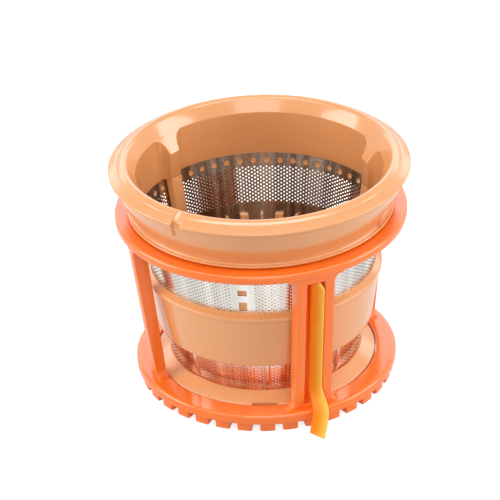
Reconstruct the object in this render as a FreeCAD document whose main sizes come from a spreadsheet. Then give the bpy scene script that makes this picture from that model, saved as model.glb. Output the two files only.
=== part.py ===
import FreeCAD, Part
import math
import os
import Sketcher

doc = FreeCAD.newDocument("juicer_mesh_screen")
sheet = doc.addObject("Spreadsheet::Sheet", "dims")

# Driving sizes in millimetres and degrees: name, value, what it sets.
# Heights are counted upwards from the tooth tips, angles from the front (-Y) towards +X.
driving = [
    ("sleeve_foot_radius", "35.55", "inside of the steel sleeve at its lower edge"),
    ("sleeve_head_radius", "45.62", "inside of the steel sleeve at its upper edge"),
    ("sleeve_sheet", "0.45", "thickness of the steel sheet"),
    ("mould_gap", "0.05", "gap between the sheet and the moulding round it"),
    ("flange_lift", "2.0", "underside of the foot flange above the tooth tips"),
    ("flange_edge", "5.0", "height of the flange's upright edge"),
    ("flange_rise", "2.95", "rise of the flange's sloping top"),
    ("flange_reach", "6.2", "flange edge beyond the sheet"),
    ("flange_land", "0.75", "flat of the flange top beside the sheet"),
    ("sleeve_sink", "1.45", "depth of the sheet in the flange"),
    ("bore_step", "2.05", "foot bore inside the sheet"),
    ("lower_window", "13.35", "height of the lower sieve window"),
    ("band_tall", "20.7", "height of the middle band"),
    ("band_low_thick", "2.6", "middle band at its lower edge"),
    ("band_high_thick", "2.3", "middle band under its bead"),
    ("bead_reach", "0.75", "band bead beyond the band"),
    ("bead_tall", "1.9", "height of the band bead"),
    ("bead_ease", "0.5", "slope under the band bead"),
    ("shelf_rise", "1.5", "rise of the shelf behind the bead"),
    ("shelf_land", "0.3", "top of the shelf beside the sheet"),
    ("upper_window", "15.1", "height of the upper sieve window"),
    ("wall_lap", "4.85", "upper wall over the sheet"),
    ("wall_thick", "1.0", "upper wall at the top of the sheet"),
    ("collar_rise", "2.35", "underside of the collar above the sheet"),
    ("collar_reach", "2.9", "collar beyond the upper wall"),
    ("collar_slope", "0.5", "slope of the collar's underside"),
    ("collar_tall", "1.9", "height of the collar's edge"),
    ("cove_depth", "1.2", "cove above the collar, inwards from its edge"),
    ("cove_rise", "0.9", "cove above the collar, upwards"),
    ("flare_reach", "2.9", "flare above the cove, outwards"),
    ("flare_rise", "4.7", "flare above the cove, upwards"),
    ("funnel_reach", "3.1", "funnel wall outwards"),
    ("funnel_rise", "7.8", "funnel wall upwards"),
    ("lip_reach", "1.2", "lip beyond the funnel wall"),
    ("lip_under", "0.8", "slope of the lip's underside"),
    ("lip_edge", "1.1", "height of the lip's edge"),
    ("crest_back", "6.0", "crest of the rim inwards from the lip's edge"),
    ("crest_rise", "3.7", "crest of the rim above the lip's edge"),
    ("ledge_back", "3.42", "ledge behind the lip inwards from the lip's edge"),
    ("ledge_rise", "1.5", "ledge behind the lip above the lip's edge"),
    ("mouth_back", "3.7", "inner wall inwards from the crest"),
    ("mouth_drop", "5.8", "inner wall's upper edge below the crest"),
    ("crest_round", "2.0", "rounding of the crest"),
    ("mouth_round", "3.0", "rounding above the inner wall"),
    ("lip_round", "0.45", "rounding of the lip's edge"),
    ("flare_round", "4.0", "rounding under the funnel wall"),
    ("cove_round", "1.6", "rounding in the cove"),
    ("collar_round", "0.6", "rounding of the collar"),
    ("edge_round", "0.8", "rounding of the flange and the band"),
    ("recess_turn", "17.2", "direction of the recess in the flange's edge"),
    ("recess_wide", "9.7", "width of the recess in the flange's edge"),
    ("recess_back", "1.0", "recess inwards from the flange's edge"),
    ("recess_deep", "1.5", "bottom of the recess below the flange's upright edge"),
    ("notch_turn", "-14.0", "direction of the notch in the lip"),
    ("notch_wide", "4.0", "width of the notch in the lip"),
    ("notch_back", "3.2", "start of the notch inwards from the funnel's upper edge"),
    ("notch_deep", "1.9", "bottom of the notch below the crest"),
    ("fin_wide", "0.9", "width of the upright fin beside the notch"),
    ("fin_proud", "0.7", "fin beyond the funnel wall"),
    ("fin_tall", "4.2", "height of the fin below the lip"),
    ("fin_shift", "-2.8", "fin beside the notch, in degrees"),
    ("stop_turn", "77.5", "direction of the stop in the cove"),
    ("stop_span", "24.0", "length of the stop, in degrees"),
    ("stop_bite", "0.6", "stop into the wall behind the cove"),
    ("rib_turn", "8.6", "direction of the first long rib"),
    ("rib_count", "3", "long ribs"),
    ("rib_wide", "5.5", "width of a long rib"),
    ("rib_deep", "3.7", "long rib inwards from the sheet at its top"),
    ("rib_foot_deep", "1.75", "ribs inwards from the sheet at the flange"),
    ("rib_gap", "0.2", "gap between a rib and the sheet"),
    ("rib_nose_round", "0.6", "rounding of a rib's nose"),
    ("rib_flare", "5.0", "root of a rib's head beyond its side"),
    ("rib_flare_step", "0.7", "middle of the root's hollow beyond its side"),
    ("rib_flare_round", "3.0", "rounding of the root's hollow"),
    ("rib_root", "0.6", "a rib's head let into the wall"),
    ("stud_count", "18", "short ribs of each width"),
    ("stud_wide", "3.3", "width of a wide short rib"),
    ("stud_thin", "1.0", "width of a thin short rib"),
    ("stud_deep", "2.4", "short rib inwards from the sheet at its top"),
    ("stud_tall", "33.5", "short ribs above the flange"),
    ("stud_foot_deep", "1.6", "short rib inwards from the sheet at the flange"),
    ("stud_gap", "0.25", "gap between a short rib and the sheet"),
    ("stud_bite", "1.1", "short ribs into the flange"),
    ("neck_wide", "2.2", "width of a neck through the sheet"),
    ("neck_inset", "4.0", "necks inside the ends of the middle band"),
    ("neck_bite", "1.0", "necks into the ribs and the band"),
    ("slot_gap", "0.1", "gap round a neck in the sheet"),
    ("anchor_count", "54", "anchor holes along the sheet's upper edge"),
    ("anchor_bore", "2.3", "width of an anchor hole"),
    ("anchor_drop", "2.95", "anchor holes below the sheet's upper edge"),
    ("high_hole_wide", "3.3", "width of the upper square hole"),
    ("high_hole_tall", "2.45", "height of the upper square hole"),
    ("high_hole_drop", "10.95", "upper square hole below the sheet's upper edge"),
    ("low_hole_wide", "3.0", "width of the lower square hole"),
    ("low_hole_tall", "3.9", "height of the lower square hole"),
    ("low_hole_gap", "3.1", "bridge between the two square holes"),
    ("crease_turn", "19.0", "direction of the first pressed bead"),
    ("crease_count", "8", "pressed beads in the lower sieve"),
    ("crease_wide", "2.2", "width of a pressed bead"),
    ("crease_high", "0.7", "pressed bead beyond the sheet"),
    ("crease_inset", "0.6", "pressed bead inside the ends of the window"),
    ("turn_gap", "0.4", "running gap between cage and strainer"),
    ("lift_gap", "0.3", "gap between the cage and the collar"),
    ("tooth_count", "36", "teeth under the cage"),
    ("tooth_turn", "3.3", "direction of the first gap between the teeth"),
    ("tooth_drop", "3.5", "height of the teeth"),
    ("tooth_gap", "2.9", "gap between two teeth"),
    ("tooth_inset", "0.9", "teeth inside the ring's edge"),
    ("tooth_land", "1.4", "teeth outside the ring's bore"),
    ("ring_tall", "3.8", "height of the lower ring"),
    ("ring_wide", "7.6", "radial width of the lower ring"),
    ("hoop_tall", "3.6", "height of the upper ring"),
    ("hoop_wide", "7.2", "radial width of the upper ring"),
    ("ring_round", "1.1", "rounding of the rings"),
    ("step_round", "0.5", "rounding above the teeth and in the upper ring"),
    ("post_turn", "39.5", "direction of the wiper post"),
    ("bar_turn", "-45.7", "direction of the plain bar"),
    ("bar_wide", "3.8", "width of a plain bar"),
    ("post_wide", "14.5", "width of a wiper post"),
    ("post_low_inset", "0.15", "post outside the lower ring's bore"),
    ("post_low_thick", "4.2", "post at the lower ring"),
    ("post_high_inset", "0.7", "post outside the upper ring's bore"),
    ("post_high_thick", "5.6", "post at the upper ring"),
    ("post_bite", "1.0", "post into each ring"),
    ("window_round", "3.5", "rounding of the window corners"),
    ("slot_wide", "7.0", "width of the slot in a wiper post"),
    ("slot_sill", "1.0", "slot above the lower ring"),
    ("slot_head", "2.5", "slot below the upper ring"),
    ("seat_gap", "0.2", "gap between a wiper and its slot"),
    ("foot_wide", "2.5", "width of the wiper's root"),
    ("foot_thick", "2.1", "radial thickness of the wiper's root"),
    ("foot_inset", "0.4", "wiper's root outside the post's inner face"),
    ("blade_back", "1.0", "blade's thickness, inwards"),
    ("blade_side", "0.7", "blade's thickness, sideways"),
    ("blade_root", "2.0", "blade's root inside the post's outer face"),
    ("blade_start", "-1.5", "blade's root sideways from the slot's middle"),
    ("blade_lead", "1.3", "blade's free edge beyond the post's outer face"),
    ("blade_swing", "2.5", "blade's free edge sideways from the slot's middle"),
    ("blade_crop", "2.8", "height of the cropped upper corner"),
    ("blade_crop_wide", "1.4", "width of the cropped upper corner"),
    ("bend_rise", "8.7", "start of the tail above the lower ring"),
    ("knee_rise", "0.9", "tail's knee above the lower ring"),
    ("knee_gap", "0.7", "tail outside the lower ring"),
    ("knee_start", "-2.0", "tail's inner edge sideways at the knee"),
    ("knee_run", "1.7", "tail outwards across its width at the knee"),
    ("knee_swing", "3.3", "tail's free edge sideways at the knee"),
    ("tail_high", "4.0", "middle of the tail above the tooth tips"),
    ("tail_out", "1.0", "tail's inner edge outside the knee at its middle"),
    ("tail_start", "-3.3", "tail's inner edge sideways at its middle"),
    ("tail_run", "3.7", "tail outwards across its width at its middle"),
    ("tail_swing", "1.6", "tail's free edge sideways at its middle"),
    ("tip_lift", "0.25", "end of the tail above the tooth tips"),
    ("tip_out", "1.6", "tail's inner edge outside the knee at its end"),
    ("tip_start", "-4.2", "tail's inner edge sideways at its end"),
    ("tip_run", "6.4", "tail outwards across its width at its end"),
    ("tip_swing", "-1.0", "tail's free edge sideways at its end"),
]

# Sizes that follow from the driving ones.
derived = [
    ("zero", "=0"),
    ("flange_high", "=flange_lift + flange_edge"),
    ("flange_top", "=flange_high + flange_rise"),
    ("sleeve_low", "=flange_top - sleeve_sink"),
    ("band_low", "=flange_top + lower_window"),
    ("band_high", "=band_low + band_tall"),
    ("bead_low", "=band_high + bead_ease"),
    ("bead_high", "=band_high + bead_tall"),
    ("shelf_top", "=bead_high + shelf_rise"),
    ("wall_low", "=shelf_top + upper_window"),
    ("sleeve_top", "=wall_low + wall_lap"),
    ("cone_slope", "=(sleeve_head_radius - sleeve_foot_radius) / (sleeve_top - sleeve_low)"),
    ("sleeve_foot_out", "=sleeve_foot_radius + sleeve_sheet"),
    ("sleeve_head_out", "=sleeve_head_radius + sleeve_sheet"),
    ("seat_low", "=sleeve_low - mould_gap"),
    ("seat_top", "=sleeve_top + mould_gap"),
    ("seat_out", "=sleeve_foot_out + mould_gap"),
    ("seat_in", "=sleeve_foot_radius - mould_gap"),
    ("bore_radius", "=sleeve_foot_radius - bore_step"),
    ("sheet_at_flange", "=sleeve_foot_radius + cone_slope * sleeve_sink"),
    ("seat_out_high", "=sheet_at_flange + sleeve_sheet + mould_gap"),
    ("seat_in_high", "=sheet_at_flange - mould_gap"),
    ("flange_out", "=sleeve_foot_out + flange_reach"),
    ("flange_inner", "=seat_out_high + flange_land"),
    ("recess_plane", "=recess_turn - 90"),
    ("recess_in", "=flange_out - recess_back"),
    ("recess_far", "=flange_out + 1"),
    ("recess_floor", "=flange_high - recess_deep"),
    ("recess_over", "=flange_top + 1"),
    ("wall_in_low", "=sleeve_foot_out + mould_gap + cone_slope * (wall_low - sleeve_low)"),
    ("wall_in_high", "=sleeve_head_out + mould_gap"),
    ("wall_out", "=wall_in_high + wall_thick"),
    ("collar_low", "=sleeve_top + collar_rise"),
    ("collar_edge_low", "=collar_low + collar_slope"),
    ("collar_edge_high", "=collar_edge_low + collar_tall"),
    ("collar_out", "=wall_out + collar_reach"),
    ("cove_radius", "=collar_out - cove_depth"),
    ("cove_high", "=collar_edge_high + cove_rise"),
    ("flare_out", "=cove_radius + flare_reach"),
    ("flare_high", "=cove_high + flare_rise"),
    ("funnel_out", "=flare_out + funnel_reach"),
    ("funnel_high", "=flare_high + funnel_rise"),
    ("lip_out", "=funnel_out + lip_reach"),
    ("lip_low", "=funnel_high + lip_under"),
    ("lip_high", "=lip_low + lip_edge"),
    ("ledge_radius", "=lip_out - ledge_back"),
    ("ledge_high", "=lip_high + ledge_rise"),
    ("crest_radius", "=lip_out - crest_back"),
    ("crest_high", "=lip_high + crest_rise"),
    ("mouth_radius", "=crest_radius - mouth_back"),
    ("mouth_high", "=crest_high - mouth_drop"),
    ("notch_in", "=funnel_out - notch_back"),
    ("notch_floor", "=crest_high - notch_deep"),
    ("notch_wall", "=funnel_out - 0.8"),
    ("notch_step", "=notch_floor - 0.8"),
    ("notch_under", "=funnel_high - 0.3"),
    ("notch_over", "=crest_high + 1"),
    ("notch_far", "=lip_out + 1"),
    ("fin_low", "=funnel_high - fin_tall"),
    ("fin_low_in", "=funnel_out - fin_tall * funnel_reach / funnel_rise - fin_proud"),
    ("fin_low_out", "=fin_low_in + 2 * fin_proud"),
    ("fin_high_in", "=funnel_out - fin_proud"),
    ("fin_high_out", "=funnel_out + fin_proud"),
    ("fin_plane", "=notch_turn + fin_shift - 90"),
    ("stop_in", "=cove_radius - stop_bite"),
    ("stop_low_out", "=collar_out - 0.1"),
    ("stop_high_out", "=flare_out + 0.1"),
    ("stop_low", "=collar_edge_high - 0.3"),
    ("stop_high", "=flare_high + 0.3"),
    ("stop_plane", "=stop_turn + stop_span / 2 - 90"),
    ("rib_half", "=rib_wide / 2"),
    ("rib_half_neg", "=-rib_half"),
    ("rib_head_low", "=seat_top + 0.15"),
    ("rib_head_in", "=sleeve_head_radius - rib_deep"),
    ("rib_head_out", "=sleeve_head_radius - rib_gap"),
    ("rib_root_radius", "=sleeve_head_radius + rib_root"),
    ("rib_root_half", "=rib_half + rib_flare"),
    ("rib_root_half_neg", "=-rib_root_half"),
    ("rib_bow_half", "=rib_half + rib_flare_step"),
    ("rib_bow_half_neg", "=-rib_bow_half"),
    ("rib_bow_radius", "=sleeve_head_radius - rib_deep * 0.2"),
    ("rib_wall_radius", "=sleeve_head_radius - 0.1"),
    ("rib_head_tall", "=mouth_high - rib_head_low"),
    ("rib_head_across", "=2 * rib_root_half + 1"),
    ("slope_in", "=rib_head_in - 1"),
    ("mouth_slope", "=(crest_high - mouth_high) / (crest_radius - mouth_radius)"),
    ("slope_low", "=mouth_high - (mouth_radius - slope_in) * mouth_slope"),
    ("slope_over", "=mouth_high + 1"),
    ("rib_sink", "=flange_top - 0.9"),
    ("rib_foot_out", "=sleeve_foot_radius + cone_slope * (rib_sink - sleeve_low) - rib_gap"),
    ("rib_foot_in", "=rib_foot_out + rib_gap - rib_foot_deep"),
    ("stud_top", "=flange_top + stud_tall"),
    ("stud_sink", "=flange_top - stud_bite"),
    ("stud_foot_out", "=sleeve_foot_radius + cone_slope * (stud_sink - sleeve_low) - stud_gap"),
    ("stud_foot_in", "=stud_foot_out + stud_gap - stud_foot_deep"),
    ("stud_out", "=sleeve_foot_radius + cone_slope * (stud_top - sleeve_low) - stud_gap"),
    ("stud_in", "=stud_out + stud_gap - stud_deep"),
    ("stud_pitch", "=360 / stud_count"),
    ("rib_plane", "=rib_turn - 90"),
    ("thin_plane", "=rib_plane + stud_pitch / 2"),
    ("neck_low", "=band_low + neck_inset"),
    ("neck_high", "=band_high - neck_inset"),
    ("neck_low_in", "=sleeve_foot_radius + cone_slope * (neck_low - sleeve_low) - neck_bite"),
    ("neck_low_out", "=neck_low_in + sleeve_sheet + 2 * neck_bite"),
    ("neck_high_in", "=sleeve_foot_radius + cone_slope * (neck_high - sleeve_low) - neck_bite"),
    ("neck_high_out", "=neck_high_in + sleeve_sheet + 2 * neck_bite"),
    ("band_in_low", "=sleeve_foot_out + mould_gap + cone_slope * (band_low - sleeve_low)"),
    ("band_out_low", "=band_in_low + band_low_thick"),
    ("band_in_high", "=sleeve_foot_out + mould_gap + cone_slope * (band_high - sleeve_low)"),
    ("band_out_high", "=band_in_high + band_high_thick"),
    ("bead_out", "=band_out_high + bead_reach"),
    ("shelf_in", "=sleeve_foot_out + mould_gap + cone_slope * (shelf_top - sleeve_low)"),
    ("shelf_out", "=shelf_in + shelf_land"),
    ("slot_half", "=neck_wide / 2 + slot_gap"),
    ("slot_half_neg", "=-slot_half"),
    ("slot_low", "=neck_low - slot_gap"),
    ("slot_high", "=neck_high + slot_gap"),
    ("anchor_high", "=sleeve_top - anchor_drop"),
    ("high_hole_half", "=high_hole_wide / 2"),
    ("high_hole_half_neg", "=-high_hole_half"),
    ("high_hole_top", "=sleeve_top - high_hole_drop + high_hole_tall / 2"),
    ("high_hole_low", "=high_hole_top - high_hole_tall"),
    ("low_hole_half", "=low_hole_wide / 2"),
    ("low_hole_half_neg", "=-low_hole_half"),
    ("low_hole_top", "=high_hole_low - low_hole_gap"),
    ("low_hole_low", "=low_hole_top - low_hole_tall"),
    ("crease_plane", "=crease_turn - 90"),
    ("sleeve_middle", "=sleeve_foot_radius + sleeve_sheet / 2"),
    ("crease_low", "=flange_top + crease_inset"),
    ("crease_high_end", "=band_low - crease_inset"),
    ("crease_low_in", "=sleeve_middle + cone_slope * (crease_low - sleeve_low)"),
    ("crease_low_out", "=crease_low_in + sleeve_sheet / 2 + crease_high"),
    ("crease_top_in", "=sleeve_middle + cone_slope * (crease_high_end - sleeve_low)"),
    ("crease_top_out", "=crease_top_in + sleeve_sheet / 2 + crease_high"),
    ("crease_low_ease", "=crease_low + crease_high"),
    ("crease_top_ease", "=crease_high_end - crease_high"),
    ("cut_start", "=bore_radius - 6"),
    ("cut_reach", "=lip_out - cut_start"),
    ("notch_plane", "=notch_turn - 90"),
    ("ring_low", "=tooth_drop"),
    ("ring_top", "=tooth_drop + ring_tall"),
    ("ring_bore", "=flange_out + turn_gap"),
    ("ring_out", "=ring_bore + ring_wide"),
    ("tooth_in", "=ring_bore + tooth_land"),
    ("tooth_out", "=ring_out - tooth_inset"),
    ("tooth_half", "=tooth_gap / 2"),
    ("tooth_half_neg", "=-tooth_half"),
    ("tooth_under", "=-1"),
    ("hoop_top", "=collar_low - lift_gap"),
    ("hoop_low", "=hoop_top - hoop_tall"),
    ("hoop_bore", "=wall_out + turn_gap"),
    ("hoop_out", "=hoop_bore + hoop_wide"),
    ("post_in_low", "=ring_bore + post_low_inset"),
    ("post_out_low", "=post_in_low + post_low_thick"),
    ("post_in_high", "=hoop_bore + post_high_inset"),
    ("post_out_high", "=post_in_high + post_high_thick"),
    ("post_low", "=ring_top - post_bite"),
    ("post_high", "=hoop_low + post_bite"),
    ("post_in_slope", "=(post_in_high - post_in_low) / (post_high - post_low)"),
    ("post_out_slope", "=(post_out_high - post_out_low) / (post_high - post_low)"),
    ("post_plane", "=post_turn - 90"),
    ("post_foot_wide", "=post_wide + 2 * window_round"),
    ("post_half", "=post_wide / 2"),
    ("post_half_neg", "=-post_half"),
    ("post_clear", "=post_half + window_round + 1"),
    ("post_clear_neg", "=-post_clear"),
    ("bar_plane", "=bar_turn - 90"),
    ("bar_foot_wide", "=bar_wide + 2 * window_round"),
    ("bar_half", "=bar_wide / 2"),
    ("bar_half_neg", "=-bar_half"),
    ("bar_clear", "=bar_half + window_round + 1"),
    ("bar_clear_neg", "=-bar_clear"),
    ("sill", "=ring_top + slot_sill"),
    ("lintel", "=hoop_low - slot_head"),
    ("gate_half", "=slot_wide / 2"),
    ("gate_half_neg", "=-gate_half"),
    ("wiper_back_plane", "=post_plane + 180"),
    ("foot_low", "=sill + seat_gap"),
    ("foot_high", "=lintel - seat_gap"),
    ("foot_left", "=-gate_half + seat_gap"),
    ("foot_right", "=foot_left + foot_wide"),
    ("foot_low_in", "=post_in_low + foot_inset + post_in_slope * (foot_low - post_low)"),
    ("foot_low_out", "=foot_low_in + foot_thick"),
    ("foot_high_in", "=post_in_low + foot_inset + post_in_slope * (foot_high - post_low)"),
    ("foot_high_out", "=foot_high_in + foot_thick"),
    ("blade_top", "=foot_high - seat_gap"),
    ("blade_corner", "=blade_top - blade_crop"),
    ("bend_high", "=ring_top + bend_rise"),
    ("knee_high", "=ring_top + knee_rise"),
    ("knee_in", "=ring_out + knee_gap + blade_back"),
    ("top_a", "=post_out_low - blade_root + post_out_slope * (blade_top - post_low)"),
    ("top_b", "=top_a + (blade_root + blade_lead) * 0.8"),
    ("top_swing", "=blade_swing - blade_crop_wide"),
    ("corner_a", "=post_out_low - blade_root + post_out_slope * (blade_corner - post_low)"),
    ("corner_b", "=corner_a + blade_root + blade_lead"),
    ("bend_a", "=post_out_low - blade_root + post_out_slope * (bend_high - post_low)"),
    ("bend_b", "=bend_a + blade_root + blade_lead"),
    ("knee_b", "=knee_in + knee_run"),
    ("tail_a", "=knee_in + tail_out"),
    ("tail_b", "=tail_a + tail_run"),
    ("tip_a", "=knee_in + tip_out"),
    ("tip_b", "=tip_a + tip_run"),
]
for place in ("top", "corner", "bend", "tail", "tip"):
    derived.append((place + "_a_back", "=%s_a - blade_back" % place))
    derived.append((place + "_b_back", "=%s_b - blade_back" % place))
derived.append(("knee_in_back", "=knee_in - blade_back"))
derived.append(("knee_b_back", "=knee_b - blade_back"))
for side in ("blade_start", "blade_swing", "top_swing", "knee_start", "knee_swing",
             "tail_start", "tail_swing", "tip_start", "tip_swing"):
    derived.append((side + "_back", "=%s + blade_side" % side))

row = 0
for name, value, note in driving:
    row += 1
    sheet.set("A%d" % row, note)
    sheet.set("B%d" % row, value)
    sheet.setAlias("B%d" % row, name)
for name, formula in derived:
    row += 1
    sheet.set("B%d" % row, formula)
    sheet.setAlias("B%d" % row, name)
doc.recompute()


def size(name):
    return float(sheet.get(name))


def new_body(label):
    body = doc.addObject("PartDesign::Body", label)
    body.Label = label
    return body


def origin_part(body, role):
    for feature in body.Origin.OriginFeatures:
        if feature.Role == role:
            return feature
    raise RuntimeError("no origin feature " + role)


def attach(body, name, role, turn, axis, height=None, start=None):
    # a sketch on one of the body's own planes, turned about the upright axis
    sketch = body.newObject("Sketcher::SketchObject", name)
    sketch.AttachmentSupport = [(origin_part(body, role), "")]
    sketch.MapMode = "FlatFace"
    base = FreeCAD.Vector(0, 0, size(height) if height else 0)
    sketch.AttachmentOffset = FreeCAD.Placement(base, FreeCAD.Rotation(axis, size(turn)))
    if turn != "zero":
        sketch.setExpression("AttachmentOffset.Rotation.Angle", "dims." + turn)
    if height:
        sketch.setExpression("AttachmentOffset.Base.z", "dims." + height)
    if start:
        sketch.setExpression("AttachmentOffset.Base.x", "dims.%s * sin(dims.%s)" % (start, turn))
        sketch.setExpression("AttachmentOffset.Base.z", "dims.%s * cos(dims.%s)" % (start, turn))
    return sketch


def place(sketch, item, point, corner):
    # ties a point of the sketch to two names from the sheet
    for kind, value, name in (("DistanceX", point.x, corner[0]), ("DistanceY", point.y, corner[1])):
        number = sketch.addConstraint(Sketcher.Constraint(kind, -1, 1, item, 1, value))
        sketch.setExpression("Constraints[%d]" % number, "dims." + name)


def outline(sketch, corners):
    # closed outline; a corner is (across, up) or (across, up, rounding), all names from the sheet
    points = [FreeCAD.Vector(size(corner[0]), size(corner[1]), 0) for corner in corners]
    count = len(points)
    arrive = list(points)
    leave = list(points)
    for i in range(count):
        if len(corners[i]) == 3:
            to_last = (points[i - 1] - points[i]).normalize()
            to_next = (points[(i + 1) % count] - points[i]).normalize()
            reach = size(corners[i][2]) / math.tan(to_last.getAngle(to_next) / 2)
            arrive[i] = points[i] + to_last * reach
            leave[i] = points[i] + to_next * reach
    for i in range(count):
        sketch.addGeometry(Part.LineSegment(leave[i], arrive[(i + 1) % count]), False)
    for i in range(count):
        last = (i - 1) % count
        if len(corners[i]) == 2:
            sketch.addConstraint(Sketcher.Constraint("Coincident", last, 2, i, 1))
            place(sketch, i, points[i], corners[i])
            continue
        radius = size(corners[i][2])
        bisector = (arrive[i] + leave[i] - points[i] * 2).normalize()
        half = (arrive[i] - points[i]).getAngle(leave[i] - points[i]) / 2
        centre = points[i] + bisector * (radius / math.sin(half))
        left_turn = (arrive[i] - centre).cross(leave[i] - centre).z > 0
        first = arrive[i] if left_turn else leave[i]
        second = leave[i] if left_turn else arrive[i]
        from_angle = math.atan2(first.y - centre.y, first.x - centre.x)
        to_angle = math.atan2(second.y - centre.y, second.x - centre.x)
        if to_angle < from_angle:
            to_angle += 2 * math.pi
        circle = Part.Circle(centre, FreeCAD.Vector(0, 0, 1), radius)
        arc = sketch.addGeometry(Part.ArcOfCircle(circle, from_angle, to_angle), False)
        corner = sketch.addGeometry(Part.Point(points[i]), True)
        sketch.addConstraint(Sketcher.Constraint("Tangent", last, 2, arc, 1 if left_turn else 2))
        sketch.addConstraint(Sketcher.Constraint("Tangent", arc, 2 if left_turn else 1, i, 1))
        number = sketch.addConstraint(Sketcher.Constraint("Radius", arc, radius))
        sketch.setExpression("Constraints[%d]" % number, "dims." + corners[i][2])
        place(sketch, corner, points[i], corners[i])
        sketch.addConstraint(Sketcher.Constraint("PointOnObject", corner, 1, last))
        sketch.addConstraint(Sketcher.Constraint("PointOnObject", corner, 1, i))
    return sketch


def radial_outline(body, name, turn, corners):
    # corners are (radius, height) on a plane through the upright axis
    return outline(attach(body, name, "XZ_Plane", turn, FreeCAD.Vector(0, 1, 0)), corners)


def facing_outline(body, name, turn, corners):
    # corners are (sideways, height) as seen from outside, on a plane in front of the axis
    sketch = attach(body, name, "XZ_Plane", turn, FreeCAD.Vector(0, 1, 0), start="cut_start")
    return outline(sketch, corners)


def level_outline(body, name, turn, height, corners):
    # corners are (outwards, sideways) on a level plane
    return outline(attach(body, name, "XY_Plane", turn, FreeCAD.Vector(0, 0, 1), height), corners)


def revolve(body, name, corners, turn="zero", span=None):
    # a full turn, or a span of degrees to both sides of the sketch
    sketch = radial_outline(body, name + "_profile", turn, corners)
    feature = body.newObject("PartDesign::Revolution", name)
    feature.Profile = sketch
    feature.ReferenceAxis = (sketch, ["V_Axis"])
    feature.Angle = size(span) if span else 360
    if span:
        feature.setExpression("Angle", "dims." + span)
        feature.Midplane = True
    doc.recompute()
    return feature


def pad(body, name, sketch, length, symmetric=True):
    feature = body.newObject("PartDesign::Pad", name)
    feature.Profile = sketch
    feature.Length = size(length)
    feature.setExpression("Length", "dims." + length)
    if symmetric:
        feature.SideType = "Symmetric"
    doc.recompute()
    return feature


def cut_outwards(body, name, sketch):
    # cuts from the sketch outwards
    before = body.Shape.Volume
    feature = body.newObject("PartDesign::Pocket", name)
    feature.Profile = sketch
    feature.Length = size("cut_reach")
    feature.setExpression("Length", "dims.cut_reach")
    feature.Reversed = True
    doc.recompute()
    if not feature.Shape.Volume < before:
        raise RuntimeError(name + " cuts nothing")
    return feature


def cut_across(body, name, sketch, width):
    feature = body.newObject("PartDesign::Pocket", name)
    feature.Profile = sketch
    feature.Length = size(width)
    feature.setExpression("Length", "dims." + width)
    feature.SideType = "Symmetric"
    doc.recompute()
    return feature


def around(body, name, features, count):
    feature = body.newObject("PartDesign::PolarPattern", name)
    feature.Originals = features
    feature.Axis = (origin_part(body, "Z_Axis"), [""])
    feature.Angle = 360
    if isinstance(count, str):
        feature.Occurrences = int(size(count))
        feature.setExpression("Occurrences", "dims." + count)
    else:
        feature.Occurrences = count
    body.Tip = feature
    doc.recompute()
    return feature


def loft(body, name, sketches, ruled):
    feature = body.newObject("PartDesign::AdditiveLoft", name)
    feature.Profile = sketches[0]
    feature.Sections = sketches[1:]
    feature.Ruled = ruled
    doc.recompute()
    return feature


# strainer_frame: funnel head, ribs, foot flange and middle band in one moulding
frame = new_body("strainer_frame")
revolve(frame, "head", [
    ("sleeve_head_radius", "seat_top"),
    ("mouth_radius", "mouth_high", "mouth_round"),
    ("crest_radius", "crest_high", "crest_round"),
    ("ledge_radius", "ledge_high"),
    ("lip_out", "lip_high", "lip_round"),
    ("lip_out", "lip_low", "lip_round"),
    ("funnel_out", "funnel_high"),
    ("flare_out", "flare_high", "flare_round"),
    ("cove_radius", "cove_high", "cove_round"),
    ("collar_out", "collar_edge_high", "collar_round"),
    ("collar_out", "collar_edge_low", "collar_round"),
    ("wall_out", "collar_low"),
    ("wall_out", "wall_low"),
    ("wall_in_low", "wall_low"),
    ("wall_in_high", "seat_top"),
])
cut_across(frame, "notch", radial_outline(frame, "notch_profile", "notch_plane", [
    ("notch_in", "notch_over"),
    ("notch_in", "notch_floor"),
    ("notch_wall", "notch_step"),
    ("notch_wall", "notch_under"),
    ("notch_far", "notch_under"),
    ("notch_far", "notch_over"),
]), "notch_wide")

pad(frame, "fin", radial_outline(frame, "fin_profile", "fin_plane", [
    ("fin_low_in", "fin_low"),
    ("fin_low_out", "fin_low"),
    ("fin_high_out", "funnel_high"),
    ("fin_high_out", "lip_low"),
    ("fin_high_in", "lip_low"),
]), "fin_wide")

revolve(frame, "stop", [
    ("stop_in", "stop_low"),
    ("stop_low_out", "stop_low"),
    ("stop_high_out", "stop_high"),
    ("stop_in", "stop_high"),
], "stop_plane", "stop_span")

# the ribs' heads flare into the wall; their tops carry on the slope of the rim
rib_head = pad(frame, "rib_head", level_outline(frame, "rib_head_profile", "rib_plane", "rib_head_low", [
    ("rib_head_in", "rib_half_neg", "rib_nose_round"),
    ("rib_bow_radius", "rib_bow_half_neg", "rib_flare_round"),
    ("rib_wall_radius", "rib_root_half_neg"),
    ("rib_root_radius", "rib_root_half_neg"),
    ("rib_root_radius", "rib_root_half"),
    ("rib_wall_radius", "rib_root_half"),
    ("rib_bow_radius", "rib_bow_half", "rib_flare_round"),
    ("rib_head_in", "rib_half", "rib_nose_round"),
]), "rib_head_tall", False)
rib_slope = cut_across(frame, "rib_slope", radial_outline(frame, "rib_slope_profile", "rib_plane", [
    ("slope_in", "slope_low"),
    ("mouth_radius", "mouth_high"),
    ("mouth_radius", "slope_over"),
    ("slope_in", "slope_over"),
]), "rib_head_across")
around(frame, "rib_heads", [rib_head, rib_slope], "rib_count")
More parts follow.
